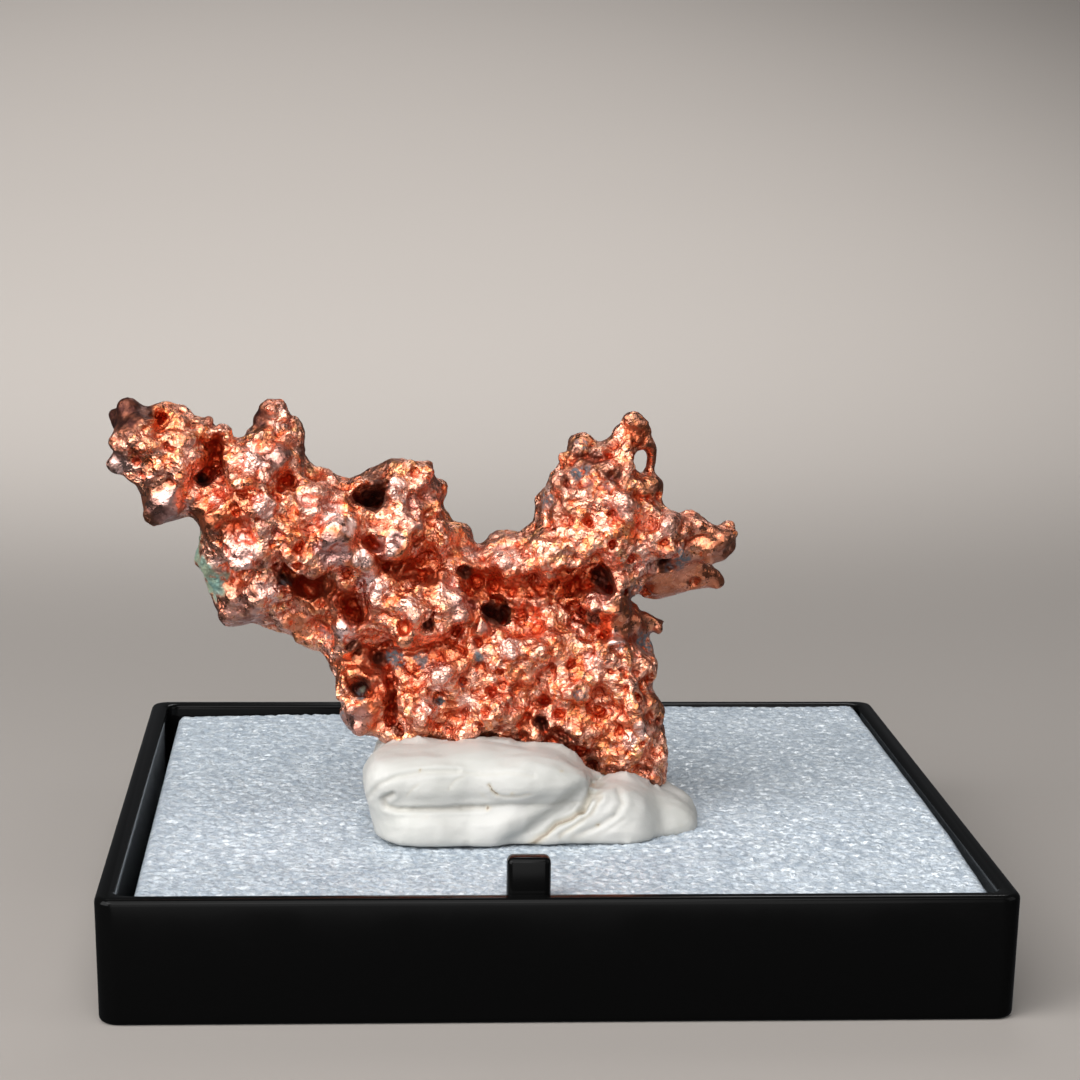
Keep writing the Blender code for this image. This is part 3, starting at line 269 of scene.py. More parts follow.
# Dull blue-grey mineral left in hollows.
GREY_SPOTS = (
    (0.2, 29.1, 0.65, 1.0), (0.1, 29.9, 0.4, 0.8), (2.5, 32.8, 0.4, 1.0), (2.2, 30.9, 0.45, 1.0),
    (2.9, 31.1, 0.35, 0.9), (9.5, 25.3, 0.55, 1.0), (9.3, 24.9, 0.45, 1.0), (8.8, 24.6, 0.4, 0.8),
    (6.4, 22.9, 0.45, 1.0), (6.2, 22.4, 0.35, 0.9), (7.1, 19.4, 0.75, 1.0), (7.4, 18.8, 0.5, 0.8),
    (-10.2, 18.4, 0.55, 1.0), (-9.7, 17.9, 0.5, 1.0), (-8.2, 18.0, 0.55, 0.9), (-4.2, 18.2, 0.5, 1.0),
    (-5.4, 16.4, 0.35, 1.0), (-6.9, 15.4, 0.38, 1.0), (-12.3, 15.8, 0.3, 0.8), (-17.4, 23.2, 0.35, 0.7),
    (-9.3, 29.2, 0.3, 0.8), (-8.4, 27.4, 0.4, 0.7), (-13.6, 14.1, 0.5, 0.9), (2.6, 15.6, 0.4, 0.8),
    (4.3, 30.2, 0.5, 0.6), (3.0, 30.1, 0.35, 0.5), (-14.7, 19.8, 0.4, 0.7), (5.3, 12.1, 0.35, 0.6),
    (-19.2, 21.1, 0.6, 0.45), (-20.6, 21.5, 0.6, 0.45), (7.6, 16.2, 0.4, 0.6), (1.4, 25.5, 0.3, 0.5),
)
# Green crust.
GREEN_SPOTS = (
    (-23.2, 26.3, 0.6, 1.0), (-23.2, 25.3, 0.7, 1.0), (-22.9, 24.3, 0.85, 1.0), (-22.4, 23.4, 0.9, 1.0),
    (-22.0, 22.8, 0.6, 0.9), (-21.6, 23.7, 0.5, 0.9), (-12.2, 16.0, 0.3, 0.5), (-13.7, 13.8, 0.3, 0.7),
)
# Smooth copper with a mauve cast.
MAUVE_SPOTS = (
    (-14.2, 25.5, 1.2, 1.0), (-9.8, 26.3, 0.6, 1.0), (-11.8, 23.4, 0.7, 0.9), (-5.5, 21.7, 0.9, 0.7),
    (-25.2, 28.5, 1.3, 0.8), (-20.4, 21.5, 1.5, 0.35), (-17.9, 32.0, 0.9, 0.8), (-12.4, 13.9, 1.0, 0.6),
    (-3.9, 20.3, 0.5, 0.7), (-23.6, 32.4, 0.8, 0.5), (-9.0, 28.6, 0.8, 0.5), (-7.4, 29.7, 0.8, 0.5),
    (-28.4, 31.6, 0.5, 0.6), (-13.2, 20.0, 0.7, 0.6), (-18.4, 26.9, 0.8, 0.4), (8.6, 27.8, 0.7, 0.4),
)
# Painted shade and painted reflection: deep orange to red copper in cups and crevices, where the copper is
# shaded and lit by its own reflected light.
ORANGE_CUP_SHADE_SPOTS = (
    (-25.7, 34.5, 1.0, 0.9), (-24.4, 34.0, 0.7, 0.7), (-22.2, 31.6, 0.9, 1.0), (-22.0, 32.7, 0.6, 1.0),
    (-22.4, 28.0, 1.3, 0.9), (-21.0, 28.6, 0.8, 0.9), (-19.9, 28.9, 0.8, 0.8), (-19.7, 30.2, 0.6, 0.8),
    (-17.3, 30.2, 0.7, 0.9), (-17.2, 27.2, 1.2, 0.7), (-16.4, 26.0, 0.9, 0.8), (-15.4, 22.8, 1.5, 1.0),
    (-13.2, 21.8, 0.9, 1.0), (-14.6, 20.8, 0.9, 0.8), (-11.4, 26.0, 0.6, 1.0), (-9.4, 24.4, 1.2, 1.0),
    (-7.6, 24.0, 1.0, 0.9), (-4.6, 23.6, 1.2, 1.0), (-3.0, 23.4, 1.2, 1.0), (-1.4, 23.2, 1.1, 0.8),
    (-9.7, 22.2, 0.7, 0.8), (-7.2, 29.2, 1.0, 0.8), (-7.8, 26.4, 1.0, 0.7), (-5.6, 25.6, 0.9, 0.7),
    (-13.0, 17.4, 1.4, 0.8), (-11.2, 15.6, 0.9, 0.9), (-10.3, 15.0, 0.7, 1.0), (-6.0, 18.3, 1.2, 0.9),
    (-8.9, 17.2, 1.0, 0.7), (-6.3, 14.6, 0.8, 0.8), (-8.6, 15.4, 0.8, 0.7), (6.2, 33.6, 0.9, 0.9),
    (1.3, 31.9, 0.5, 0.8), (2.9, 27.6, 0.6, 0.8), (5.4, 27.2, 0.9, 0.7), (2.0, 23.2, 1.3, 1.0),
    (0.5, 23.0, 0.8, 0.9), (3.2, 23.6, 0.8, 1.0), (7.8, 23.2, 1.2, 0.8), (11.2, 23.8, 0.9, 0.8),
    (5.6, 20.8, 1.2, 0.8), (4.4, 20.0, 0.8, 0.9), (1.2, 18.6, 0.8, 0.7), (2.4, 17.8, 0.6, 0.9),
    (-1.2, 16.8, 0.9, 0.6), (3.0, 14.2, 1.2, 0.7), (4.6, 13.4, 1.0, 0.8), (6.2, 13.4, 0.8, 0.8),
    (7.7, 15.2, 0.6, 0.9), (-14.6, 24.4, 0.6, 0.8), (-13.2, 24.6, 0.5, 0.9), (-16.6, 20.6, 0.9, 0.8),
    (-20.6, 23.2, 0.7, 0.7), (4.0, 18.9, 0.6, 0.7), (-1.0, 14.0, 0.8, 0.8), (5.0, 11.9, 1.0, 0.7),
)
# Painted highlights: pale pink spots where the copper catches the light.
PAINTED_HIGHLIGHT_SPOTS = (
    (-20.3, 25.4, 1.1, 0.9), (-18.8, 28.6, 0.8, 0.8), (-14.3, 27.9, 0.8, 0.9), (-13.1, 27.1, 0.5, 1.0),
    (-10.6, 25.8, 0.6, 1.0), (-12.3, 25.1, 0.7, 1.0), (-11.4, 23.2, 0.9, 0.7), (-19.6, 31.7, 0.8, 0.8),
    (-28.5, 31.3, 0.8, 0.9), (-25.0, 29.1, 0.7, 0.9), (-24.5, 28.4, 0.5, 0.9), (-18.5, 22.8, 0.8, 0.8),
    (-13.5, 20.2, 0.7, 0.9), (-9.9, 29.9, 0.6, 0.8), (-5.0, 25.4, 0.5, 0.5), (-2.6, 25.2, 0.9, 0.5),
    (-2.2, 18.9, 0.7, 0.8), (-6.9, 17.0, 0.9, 0.7), (-5.0, 15.1, 0.6, 0.6), (8.3, 27.1, 0.7, 0.4),
    (7.2, 26.2, 0.7, 0.3), (3.9, 22.1, 0.8, 0.4), (5.1, 19.4, 0.6, 1.0), (7.0, 24.6, 0.7, 0.4),
    (-8.9, 21.6, 0.9, 0.5), (-6.2, 22.9, 0.8, 0.5), (-21.9, 28.9, 0.5, 0.6), (-17.7, 34.5, 0.8, 0.5),
    (5.4, 28.7, 0.8, 0.4), (-15.4, 28.9, 1.0, 0.5), (-7.7, 14.8, 0.7, 0.5), (7.0, 13.2, 0.5, 0.8),
    (3.6, 17.9, 0.7, 0.6), (6.1, 12.4, 0.5, 0.8), (-22.1, 24.7, 0.5, 0.7), (-21.2, 24.4, 0.5, 0.7),
)


def clear_default_scene():
    for obj in list(bpy.data.objects):
        if obj.type in {"CAMERA", "LIGHT"}:
            bpy.data.objects.remove(obj, do_unlink=True)


def add_object(name, data):
    obj = bpy.data.objects.new(name, data)
    bpy.context.scene.collection.objects.link(obj)
    return obj


def from_bmesh(bm, name):
    mesh = bpy.data.meshes.new(name)
    bm.to_mesh(mesh)
    bm.free()
    return add_object(name, mesh)


def from_millimetres(bm, name):
    bmesh.ops.scale(bm, vec=(MM, MM, MM), verts=bm.verts)
    return from_bmesh(bm, name)


def merged_copy(node, name):
    """A new object with the node's solid, its loose triangles joined up."""
    bm = bmesh.new()
    bm.from_mesh(frame["nodes"][node].data)
    bmesh.ops.remove_doubles(bm, verts=bm.verts, dist=JOIN_GAP * MM)
    return from_bmesh(bm, name)


def bake_modifiers(obj):
    graph = bpy.context.evaluated_depsgraph_get()
    mesh = bpy.data.meshes.new_from_object(obj.evaluated_get(graph))
    obj.modifiers.clear()
    old = obj.data
    obj.data = mesh
    bpy.data.meshes.remove(old)


def remesh(obj, voxel):
    step = obj.modifiers.new("remesh", "REMESH")
    step.mode = "VOXEL"
    step.voxel_size = voxel * MM
    step.use_smooth_shade = True
    bake_modifiers(obj)


def smooth(obj, times):
    step = obj.modifiers.new("smooth", "SMOOTH")
    step.factor = 0.5
    step.iterations = times
    bake_modifiers(obj)


def points_of(obj):
    """Vertex positions and normals, in millimetres and unit vectors."""
    mesh = obj.data
    points = np.empty(len(mesh.vertices) * 3)
    mesh.vertices.foreach_get("co", points)
    normals = np.empty(len(mesh.vertices) * 3)
    mesh.vertices.foreach_get("normal", normals)
    return points.reshape(-1, 3) / MM, normals.reshape(-1, 3)


def put_points(obj, points):
    obj.data.vertices.foreach_set("co", (points * MM).ravel())
    obj.data.update()


def edges_of(obj):
    ends = np.empty(len(obj.data.edges) * 2, dtype=np.int32)
    obj.data.edges.foreach_get("vertices", ends)
    return ends.reshape(-1, 2)


def spread(values, ends, times):
    """Averages values over neighbouring vertices, again and again."""
    count = np.bincount(ends.ravel(), minlength=len(values)) + 1.0
    for _ in range(times):
        if values.ndim == 1:
            total = values + np.bincount(ends[:, 0], values[ends[:, 1]], len(values))
            total += np.bincount(ends[:, 1], values[ends[:, 0]], len(values))
            values = total / count
        else:
            values = np.stack([spread(column, ends, 1) for column in values.T], axis=1)
    return values


def set_attribute(obj, name, values):
    layer = obj.data.attributes.new(name, "FLOAT", "POINT")
    layer.data.foreach_set("value", np.clip(values, 0.0, 1.0).astype(np.float32))


def smooth_step(value):
    value = np.clip(value, 0.0, 1.0)
    return value * value * (3.0 - 2.0 * value)


def form_tree(node):
    form = merged_copy(node, "form")
    tree = BVHTree.FromObject(form, bpy.context.evaluated_depsgraph_get())
    bpy.data.objects.remove(form, do_unlink=True)
    return tree


def front_points(tree, spots):
    """Where the sight lines of the spots meet the form, and the direction that stands out from it there."""
    places, outward = [], []
    start = Vector(SIGHT_FROM)
    for spot in spots:
        aim = Vector((spot[0], SIGHT_PLANE, spot[1]))
        sight = (aim - start).normalized()
        at, normal, _, _ = tree.ray_cast(start * MM, sight)
        if at is None:
            at, normal, _, _ = tree.find_nearest(aim * MM)
        places.append(np.array(at) / MM)
        outward.append(np.array((normal - sight).normalized()))
    return np.array(places), np.array(outward)


def seen_on(points, plane):
    """Where points are seen from the front on the plane y = plane: x and z."""
    eye = np.array(SIGHT_FROM)
    away = (plane - eye[1]) / (points[:, 1] - eye[1])
    return (eye + (points - eye) * away[:, None])[:, [0, 2]]


def chain_distance(places, chain):
    nearest = np.full(len(places), 1e3)
    for start, end in zip(chain, chain[1:]):
        start = np.array(start)
        link = np.array(end) - start
        share = np.clip((places - start) @ link / (link @ link), 0.0, 1.0)
        nearest = np.minimum(nearest, np.linalg.norm(places - start - share[:, None] * link, axis=1))
    return nearest


def spot_mask(points, tree, spots):
    """The strength of the ragged spot that each point of the front lies in, fading to 0 at its edge."""
    mask = np.zeros(len(points))
    seen = seen_on(warped(points, SPOT_TEAR, 0.4), SIGHT_PLANE)
    places, _ = front_points(tree, spots)
    for place, (x, z, radius, strength) in zip(places, spots):
        across = np.hypot(seen[:, 0] - x, seen[:, 1] - z) / radius
        away = np.linalg.norm(points - place, axis=1)
        near = smooth_step((radius + SPOT_REACH - away) / 0.5)
        mask = np.maximum(mask, strength * near * smooth_step((1.2 - across) / 0.45))
    return mask


def in_cells(points, size, shift):
    """Points in cell sizes, with a shift that is the pattern's own, so that no two patterns line up."""
    return points / size + np.array((shift, shift * 1.7, shift * 0.3))


def cell_noise(points, size, shift):
    """Distances to the nearest and the next seed of a cell pattern, and the way from the nearest one."""
    found = np.empty((len(points), 5))
    scaled = in_cells(points, size, shift)
    for number, point in enumerate(scaled.tolist()):
        distances, seeds = noise.voronoi(point)
        found[number] = distances[0], distances[1], *seeds[0]
    return found[:, 0], found[:, 1], scaled - found[:, 2:]


def flakes(points, size, shift):
    """Tilted facets: every cell is a plane with a tilt of its own, so that it steps at the cell's edge."""
    _, _, offset = cell_noise(points, size, shift)
    seeds = np.round((in_cells(points, size, shift) - offset) * SEED_STEPS) / 8.0
    tilt = np.array([noise.cell_vector(seed) for seed in (seeds + 0.37).tolist()])
    return ((tilt * 2.0 - 1.0) * offset).sum(axis=1) * size


def soft_noise(points, size, shift):
    scaled = points / size + np.array((shift, shift * 0.7, shift * 2.1))
    return np.array([noise.noise(point) for point in scaled.tolist()])


def warped(points, size, amount):
    shifts = np.array([noise.noise_vector(point) for point in (points / size).tolist()])
    return points + shifts * amount


# ---------------------------------------------------------------- copper


# Sizes in millimetres. The form is remeshed twice, first with its knobs and then with its pits.
FORM_VOXEL = 0.2
SKIN_VOXEL = 0.112
SPOT_REACH = 1.8
SPOT_TEAR = 0.8
SEED_STEPS = 512.0
LOBE_CELL = 2.4
KNOB_CELL = 1.3
PIT_CELL = 1.05
GRAIN_CELL = 0.5
FLAKE_CELL = 0.5
LOBE_RISE = 0.46
KNOB_RISE = 0.3
SEAM_DEPTH = 0.1
CUP_DEPTH = 0.5
CREASE_DEPTH = 0.12
GRAIN_RISE = 0.11
FLAKE_RISE = 0.1
GRIT_RISE = 0.03
KNOB_FLATNESS = 0.8
PIT_SLANT = 137.5
PIT_STRETCH = 0.6
PIT_REACH = 1.6
CREVICE_REACH = 2.6
# How far the painted red crevice shade spreads, in crevice widths.
CREVICE_SHADE_SPREAD = 1.5
EDGE_WEAR = 0.6
FORM_POLISH = 0.9
SKIN_POLISH = 0.93
CLOSE_ROUNDS = 14
WIDE_ROUNDS = 90


def domes(nearest):
    """Round tops that fall to 0 at the cell's edge, from the distance to the cell's seed."""
    return 1.0 - np.minimum(nearest / 0.65, 1.0) ** 2


def worn_edges(normals):
    """Less than 1 on the nugget's rim, which is worn rounder than its two broad faces."""
    return 1.0 - EDGE_WEAR * smooth_step((0.5 - np.abs(normals[:, 1])) / 0.35)


def add_knobs(form, tree):
    """Round lumps half sunk in the form, each a little flat along the direction that it stands out."""
    places, outward = front_points(tree, KNOBS)
    bm = bmesh.new()
    bm.from_mesh(form.data)
    for place, out, (_, _, radius, proud) in zip(places, outward, KNOBS):
        centre = Vector(place + out * (proud - KNOB_FLATNESS * radius)) * MM
        turn = Vector(out).to_track_quat("Z", "Y").to_matrix().to_4x4()
        squash = Matrix.Diagonal((radius * MM, radius * MM, KNOB_FLATNESS * radius * MM, 1.0))
        bmesh.ops.create_icosphere(
            bm, subdivisions=2, radius=1.0, matrix=Matrix.Translation(centre) @ turn @ squash
        )
    for x, y, z, radius in STRANDS:
        place = Matrix.Translation(Vector((x, y, z)) * MM)
        bmesh.ops.create_icosphere(bm, subdivisions=2, radius=radius * MM, matrix=place)
    bm.to_mesh(form.data)
    bm.free()


def press_pits(points, tree):
    """Sinks the pits, each drawn out along a slant of its own."""
    places, outward = front_points(tree, PITS)
    torn = warped(points, 0.5, 0.26)
    for number, (place, out, (_, _, radius, depth)) in enumerate(zip(places, outward, PITS)):
        offset = torn - place
        along = offset @ out
        offset -= along[:, None] * out
        slant = math.radians(PIT_SLANT * number)
        grain = np.cross(out, (math.cos(slant), 0.0, math.sin(slant)))
        longwise = offset @ (grain / np.linalg.norm(grain))
        across = np.sqrt((offset * offset).sum(axis=1) - PIT_STRETCH * longwise * longwise)
        share = smooth_step((1.05 - across / radius) / 0.7) * (np.abs(along) < PIT_REACH)
        points = points - out * (share * depth)[:, None]
    return points


def crevice_share(points, tree, grow=1.0):
    """For each crevice: each point's share in it, from 0 to 1, the way out of it, its depth and the redness
    of its painted shade.
    """
    seen = seen_on(warped(points, 0.8, 0.35), SIGHT_PLANE)
    for chain, width, depth, red in CREVICES:
        places, outward = front_points(tree, chain)
        away = np.min([np.linalg.norm(points - place, axis=1) for place in places], axis=0)
        near = smooth_step((CREVICE_REACH - away) / 0.6)
        share = smooth_step((1.3 - chain_distance(seen, chain) / (width * grow)) / 0.9)
        yield share * near, outward.mean(axis=0), depth, red


def press_crevices(points, tree):
    moved = points.copy()
    for share, out, depth, _ in crevice_share(points, tree):
        moved -= out * (share * depth)[:, None]
    return moved


def copper_form(tree):
    """The nugget's shape down to knobs and pits of about a millimetre."""
    form = merged_copy("copper_nugget", "copper_form")
    add_knobs(form, tree)
    remesh(form, FORM_VOXEL)
    smooth(form, 3)
    points, normals = points_of(form)
    rough = (1.0 - FORM_POLISH * spot_mask(points, tree, SMOOTH_SPOTS)) * worn_edges(normals)
    bent = warped(points, size=1.3, amount=0.5)
    lobe, _, _ = cell_noise(bent, LOBE_CELL, shift=13.0)
    knob, far, _ = cell_noise(bent, KNOB_CELL, shift=3.0)
    torn = warped(bent, size=0.45, amount=0.3)
    hollow, _, _ = cell_noise(torn, PIT_CELL, shift=29.0)
    chosen = soft_noise(points, size=1.9, shift=17.0)
    crease = np.exp(-np.abs(soft_noise(torn, size=1.7, shift=41.0)) / 0.035)
    sunk = smooth_step((0.3 - hollow) / 0.2) * smooth_step((chosen - 0.1) / 0.1)
    height = LOBE_RISE * (domes(lobe) - 0.5) + KNOB_RISE * (domes(knob) - 0.5)
    height = height - SEAM_DEPTH * np.exp(-(far - knob) / 0.08)
    height = height - CUP_DEPTH * sunk - CREASE_DEPTH * crease
    points = points + normals * (rough * height)[:, None]
    points = press_crevices(points, tree)
    put_points(form, press_pits(points, tree))
    remesh(form, SKIN_VOXEL)
    smooth(form, 1)
    return form


def roughen_skin(skin, tree):
    """Crinkles of a few tenths of a millimetre, left out where the copper is worn smooth."""
    points, normals = points_of(skin)
    rough = (1.0 - SKIN_POLISH * spot_mask(points, tree, SMOOTH_SPOTS)) * worn_edges(normals)
    rough = rough * (0.4 + 0.6 * smooth_step((soft_noise(points, size=2.4, shift=23.0) + 0.15) / 0.3))
    grain, _, _ = cell_noise(warped(points, size=0.6, amount=0.2), GRAIN_CELL, shift=11.0)
    facets = flakes(warped(points, size=0.5, amount=0.15), FLAKE_CELL, shift=7.0)
    grit = soft_noise(points, size=0.3, shift=5.0)
    height = GRAIN_RISE * (domes(grain) - 0.5) + FLAKE_RISE * facets + GRIT_RISE * grit
    put_points(skin, points + normals * (rough * height)[:, None])


def copper_masks(skin, tree):
    """Marks on the skin's vertices: how hollow the place is, and the finishes of the spots and crevices.
    The hollow, orange and red marks carry painted shade, the pale mark painted highlights, and the tarnish
    mark both tarnish and painted shade in pits.
    """
    points, normals = points_of(skin)
    ends = edges_of(skin)
    near = spread(points, ends, CLOSE_ROUNDS)
    wide = spread(near, ends, WIDE_ROUNDS)
    close_hollow = ((near - points) * normals).sum(axis=1)
    wide_hollow = ((wide - points) * normals).sum(axis=1)
    # How hollow each place is, for the painted shade in hollows.
    hollow = np.clip(close_hollow / 0.09, -1, 1) * 0.45 + np.clip(wide_hollow / 0.4, -1, 1) * 0.55
    set_attribute(skin, "hollow", 0.5 + 0.5 * hollow)
    for name, spots in (
        ("polish", SMOOTH_SPOTS),
        ("tarnish_and_pit_shade", TARNISH_AND_PIT_SHADE_SPOTS),
        ("grey", GREY_SPOTS),
        ("green", GREEN_SPOTS),
        ("mauve", MAUVE_SPOTS),
        ("orange", ORANGE_CUP_SHADE_SPOTS),
        ("pale", PAINTED_HIGHLIGHT_SPOTS),
    ):
        set_attribute(skin, name, spot_mask(points, tree, spots))
    # Painted shade: how strongly each point lies in a crevice's red shade.
    red = np.zeros(len(points))
    for share, _, _, redness in crevice_share(points, tree, CREVICE_SHADE_SPREAD):
        red = np.maximum(red, share * redness)
    set_attribute(skin, "red", red)


# Where the skin is cut, across x, and its pieces from left to right.
CUTS = (-15.0, -7.0, 1.4)
PART_NAMES = ("copper_left_arm", "copper_left_body", "copper_right_body", "copper_right_arm")


def split_skin(skin):
    """Closed pieces of the nugget's skin, side by side."""
    pieces = []
    for name, low, high in zip(PART_NAMES, (None, *CUTS), (*CUTS, None)):
        bm = bmesh.new()
        bm.from_mesh(skin.data)
        for limit, outward in ((low, -1.0), (high, 1.0)):
            if limit is None:
                continue
            cut = bmesh.ops.bisect_plane(
                bm,
                geom=bm.verts[:] + bm.edges[:] + bm.faces[:],
                plane_co=(limit * MM, 0, 0),
                plane_no=(outward, 0, 0),
                clear_outer=True,
            )
            rim = [item for item in cut["geom_cut"] if isinstance(item, bmesh.types.BMEdge)]
            bmesh.ops.holes_fill(bm, edges=rim, sides=0)
        pieces.append(from_bmesh(bm, name))
    bpy.data.objects.remove(skin, do_unlink=True)
    return pieces


# ---------------------------------------------------------------- node helpers


class Nodes:
    """A material's node tree with short ways to add and link nodes."""

    def __init__(self, name):
        self.material = bpy.data.materials.new(name)
        self.material.use_nodes = True
        self.tree = self.material.node_tree
        self.shader = self.tree.nodes["Principled BSDF"]
        self.place = self.add("ShaderNodeTexCoord").outputs["Object"]

    def add(self, kind, **settings):
        node = self.tree.nodes.new(kind)
        for key, value in settings.items():
            setattr(node, key, value)
        return node

    def link(self, source, target):
        self.tree.links.new(source, target)

    def put(self, node, socket, value):
        if isinstance(value, bpy.types.NodeSocket):
            self.link(value, node.inputs[socket])
        else:
            node.inputs[socket].default_value = value

    def noise(self, size, detail=3.0, roughness=0.55, distortion=0.0):
        node = self.add("ShaderNodeTexNoise")
        self.link(self.place, node.inputs["Vector"])
        node.inputs["Scale"].default_value = 1.0 / (size * MM)
        node.inputs["Detail"].default_value = detail
        node.inputs["Roughness"].default_value = roughness
        node.inputs["Distortion"].default_value = distortion
        return node.outputs["Fac"]

    def cell_shades(self, size):
        """Two random values for each cell of a ragged cell pattern, and the distance to the cell's seed."""
        ragged = self.add("ShaderNodeTexNoise")
        self.link(self.place, ragged.inputs["Vector"])
        ragged.inputs["Scale"].default_value = 1.4 / (size * MM)
        shifted = self.add("ShaderNodeVectorMath", operation="MULTIPLY_ADD")
        self.link(ragged.outputs["Color"], shifted.inputs[0])
        shifted.inputs[1].default_value = (size * MM,) * 3
        self.link(self.place, shifted.inputs[2])
        cells = self.add("ShaderNodeTexVoronoi")
        self.link(shifted.outputs[0], cells.inputs["Vector"])
        cells.inputs["Scale"].default_value = 1.0 / (size * MM)
        parts = self.add("ShaderNodeSeparateColor")
        self.link(cells.outputs["Color"], parts.inputs[0])
        return parts.outputs[0], parts.outputs[1], cells.outputs["Distance"]

    def attribute(self, name):
        return self.add("ShaderNodeAttribute", attribute_name=name).outputs["Fac"]

    def math(self, operation, first, second=0.0, clamp=False):
        node = self.add("ShaderNodeMath", operation=operation, use_clamp=clamp)
        self.put(node, 0, first)
        self.put(node, 1, second)
        return node.outputs[0]

    def ramp(self, value, low, high, to_low=0.0, to_high=1.0):
        node = self.add("ShaderNodeMapRange")
        self.put(node, "Value", value)
        self.put(node, "From Min", low)
        self.put(node, "From Max", high)
        self.put(node, "To Min", to_low)
        self.put(node, "To Max", to_high)
        return node.outputs["Result"]

    def mix(self, share, first, second):
        node = self.add("ShaderNodeMix", data_type="RGBA")
        self.put(node, 0, share)
        for socket, value in ((6, first), (7, second)):
            if isinstance(value, tuple):
                value = (*value, 1.0)
            self.put(node, socket, value)
        return node.outputs[2]

    def bump(self, height, distance, strength=1.0, below=None):
        node = self.add("ShaderNodeBump")
        self.put(node, "Strength", strength)
        node.inputs["Distance"].default_value = distance * MM
        self.put(node, "Height", height)
        if below is not None:
            self.link(below, node.inputs["Normal"])
        return node.outputs["Normal"]

    def finish(self, **sockets):
        for name, value in sockets.items():
            self.put(self.shader, name.replace("_", " "), value)
        return self.material


# Colours here and below are linear red, green and blue.
WARM_COPPER = (0.88, 0.335, 0.16)
ROSE_COPPER = (0.85, 0.36, 0.24)
GOLDEN_COPPER = (0.92, 0.42, 0.16)
RUSTY_COPPER = (0.72, 0.15, 0.04)
BLUSH_COPPER = (0.92, 0.50, 0.41)
BROWN_COPPER = (0.37, 0.115, 0.07)
# Painted glints: pale specks that stand in for tiny highlights on the grain.
PAINTED_GLINT_COPPER = (0.93, 0.48, 0.345)
# Painted shade and painted reflection in cups and crevices.
ORANGE_CUP_SHADE = (0.66, 0.155, 0.045)
# Painted red shade in crevices.
RED_CREVICE_SHADE = (0.40, 0.066, 0.024)
# Painted shade in hollows.
HOLLOW_SHADE_COPPER = (0.42, 0.052, 0.014)
WORN_COPPER = (0.54, 0.17, 0.085)
MAUVE_COPPER = (0.46, 0.27, 0.25)
# Painted highlight colour for the spots that catch the light.
PAINTED_HIGHLIGHT_COPPER = (0.91, 0.59, 0.52)
# Real tarnish, and painted shade in the deepest pits and holes.
TARNISH_AND_PIT_SHADE = (0.07, 0.025, 0.02)
GREEN_CRUST = (0.15, 0.26, 0.225)
OLIVE_CRUST = (0.27, 0.32, 0.22)
GREY_CRUST = (0.105, 0.108, 0.12)
SPECK_CELL = 0.27
PATCH_CELL = 0.6


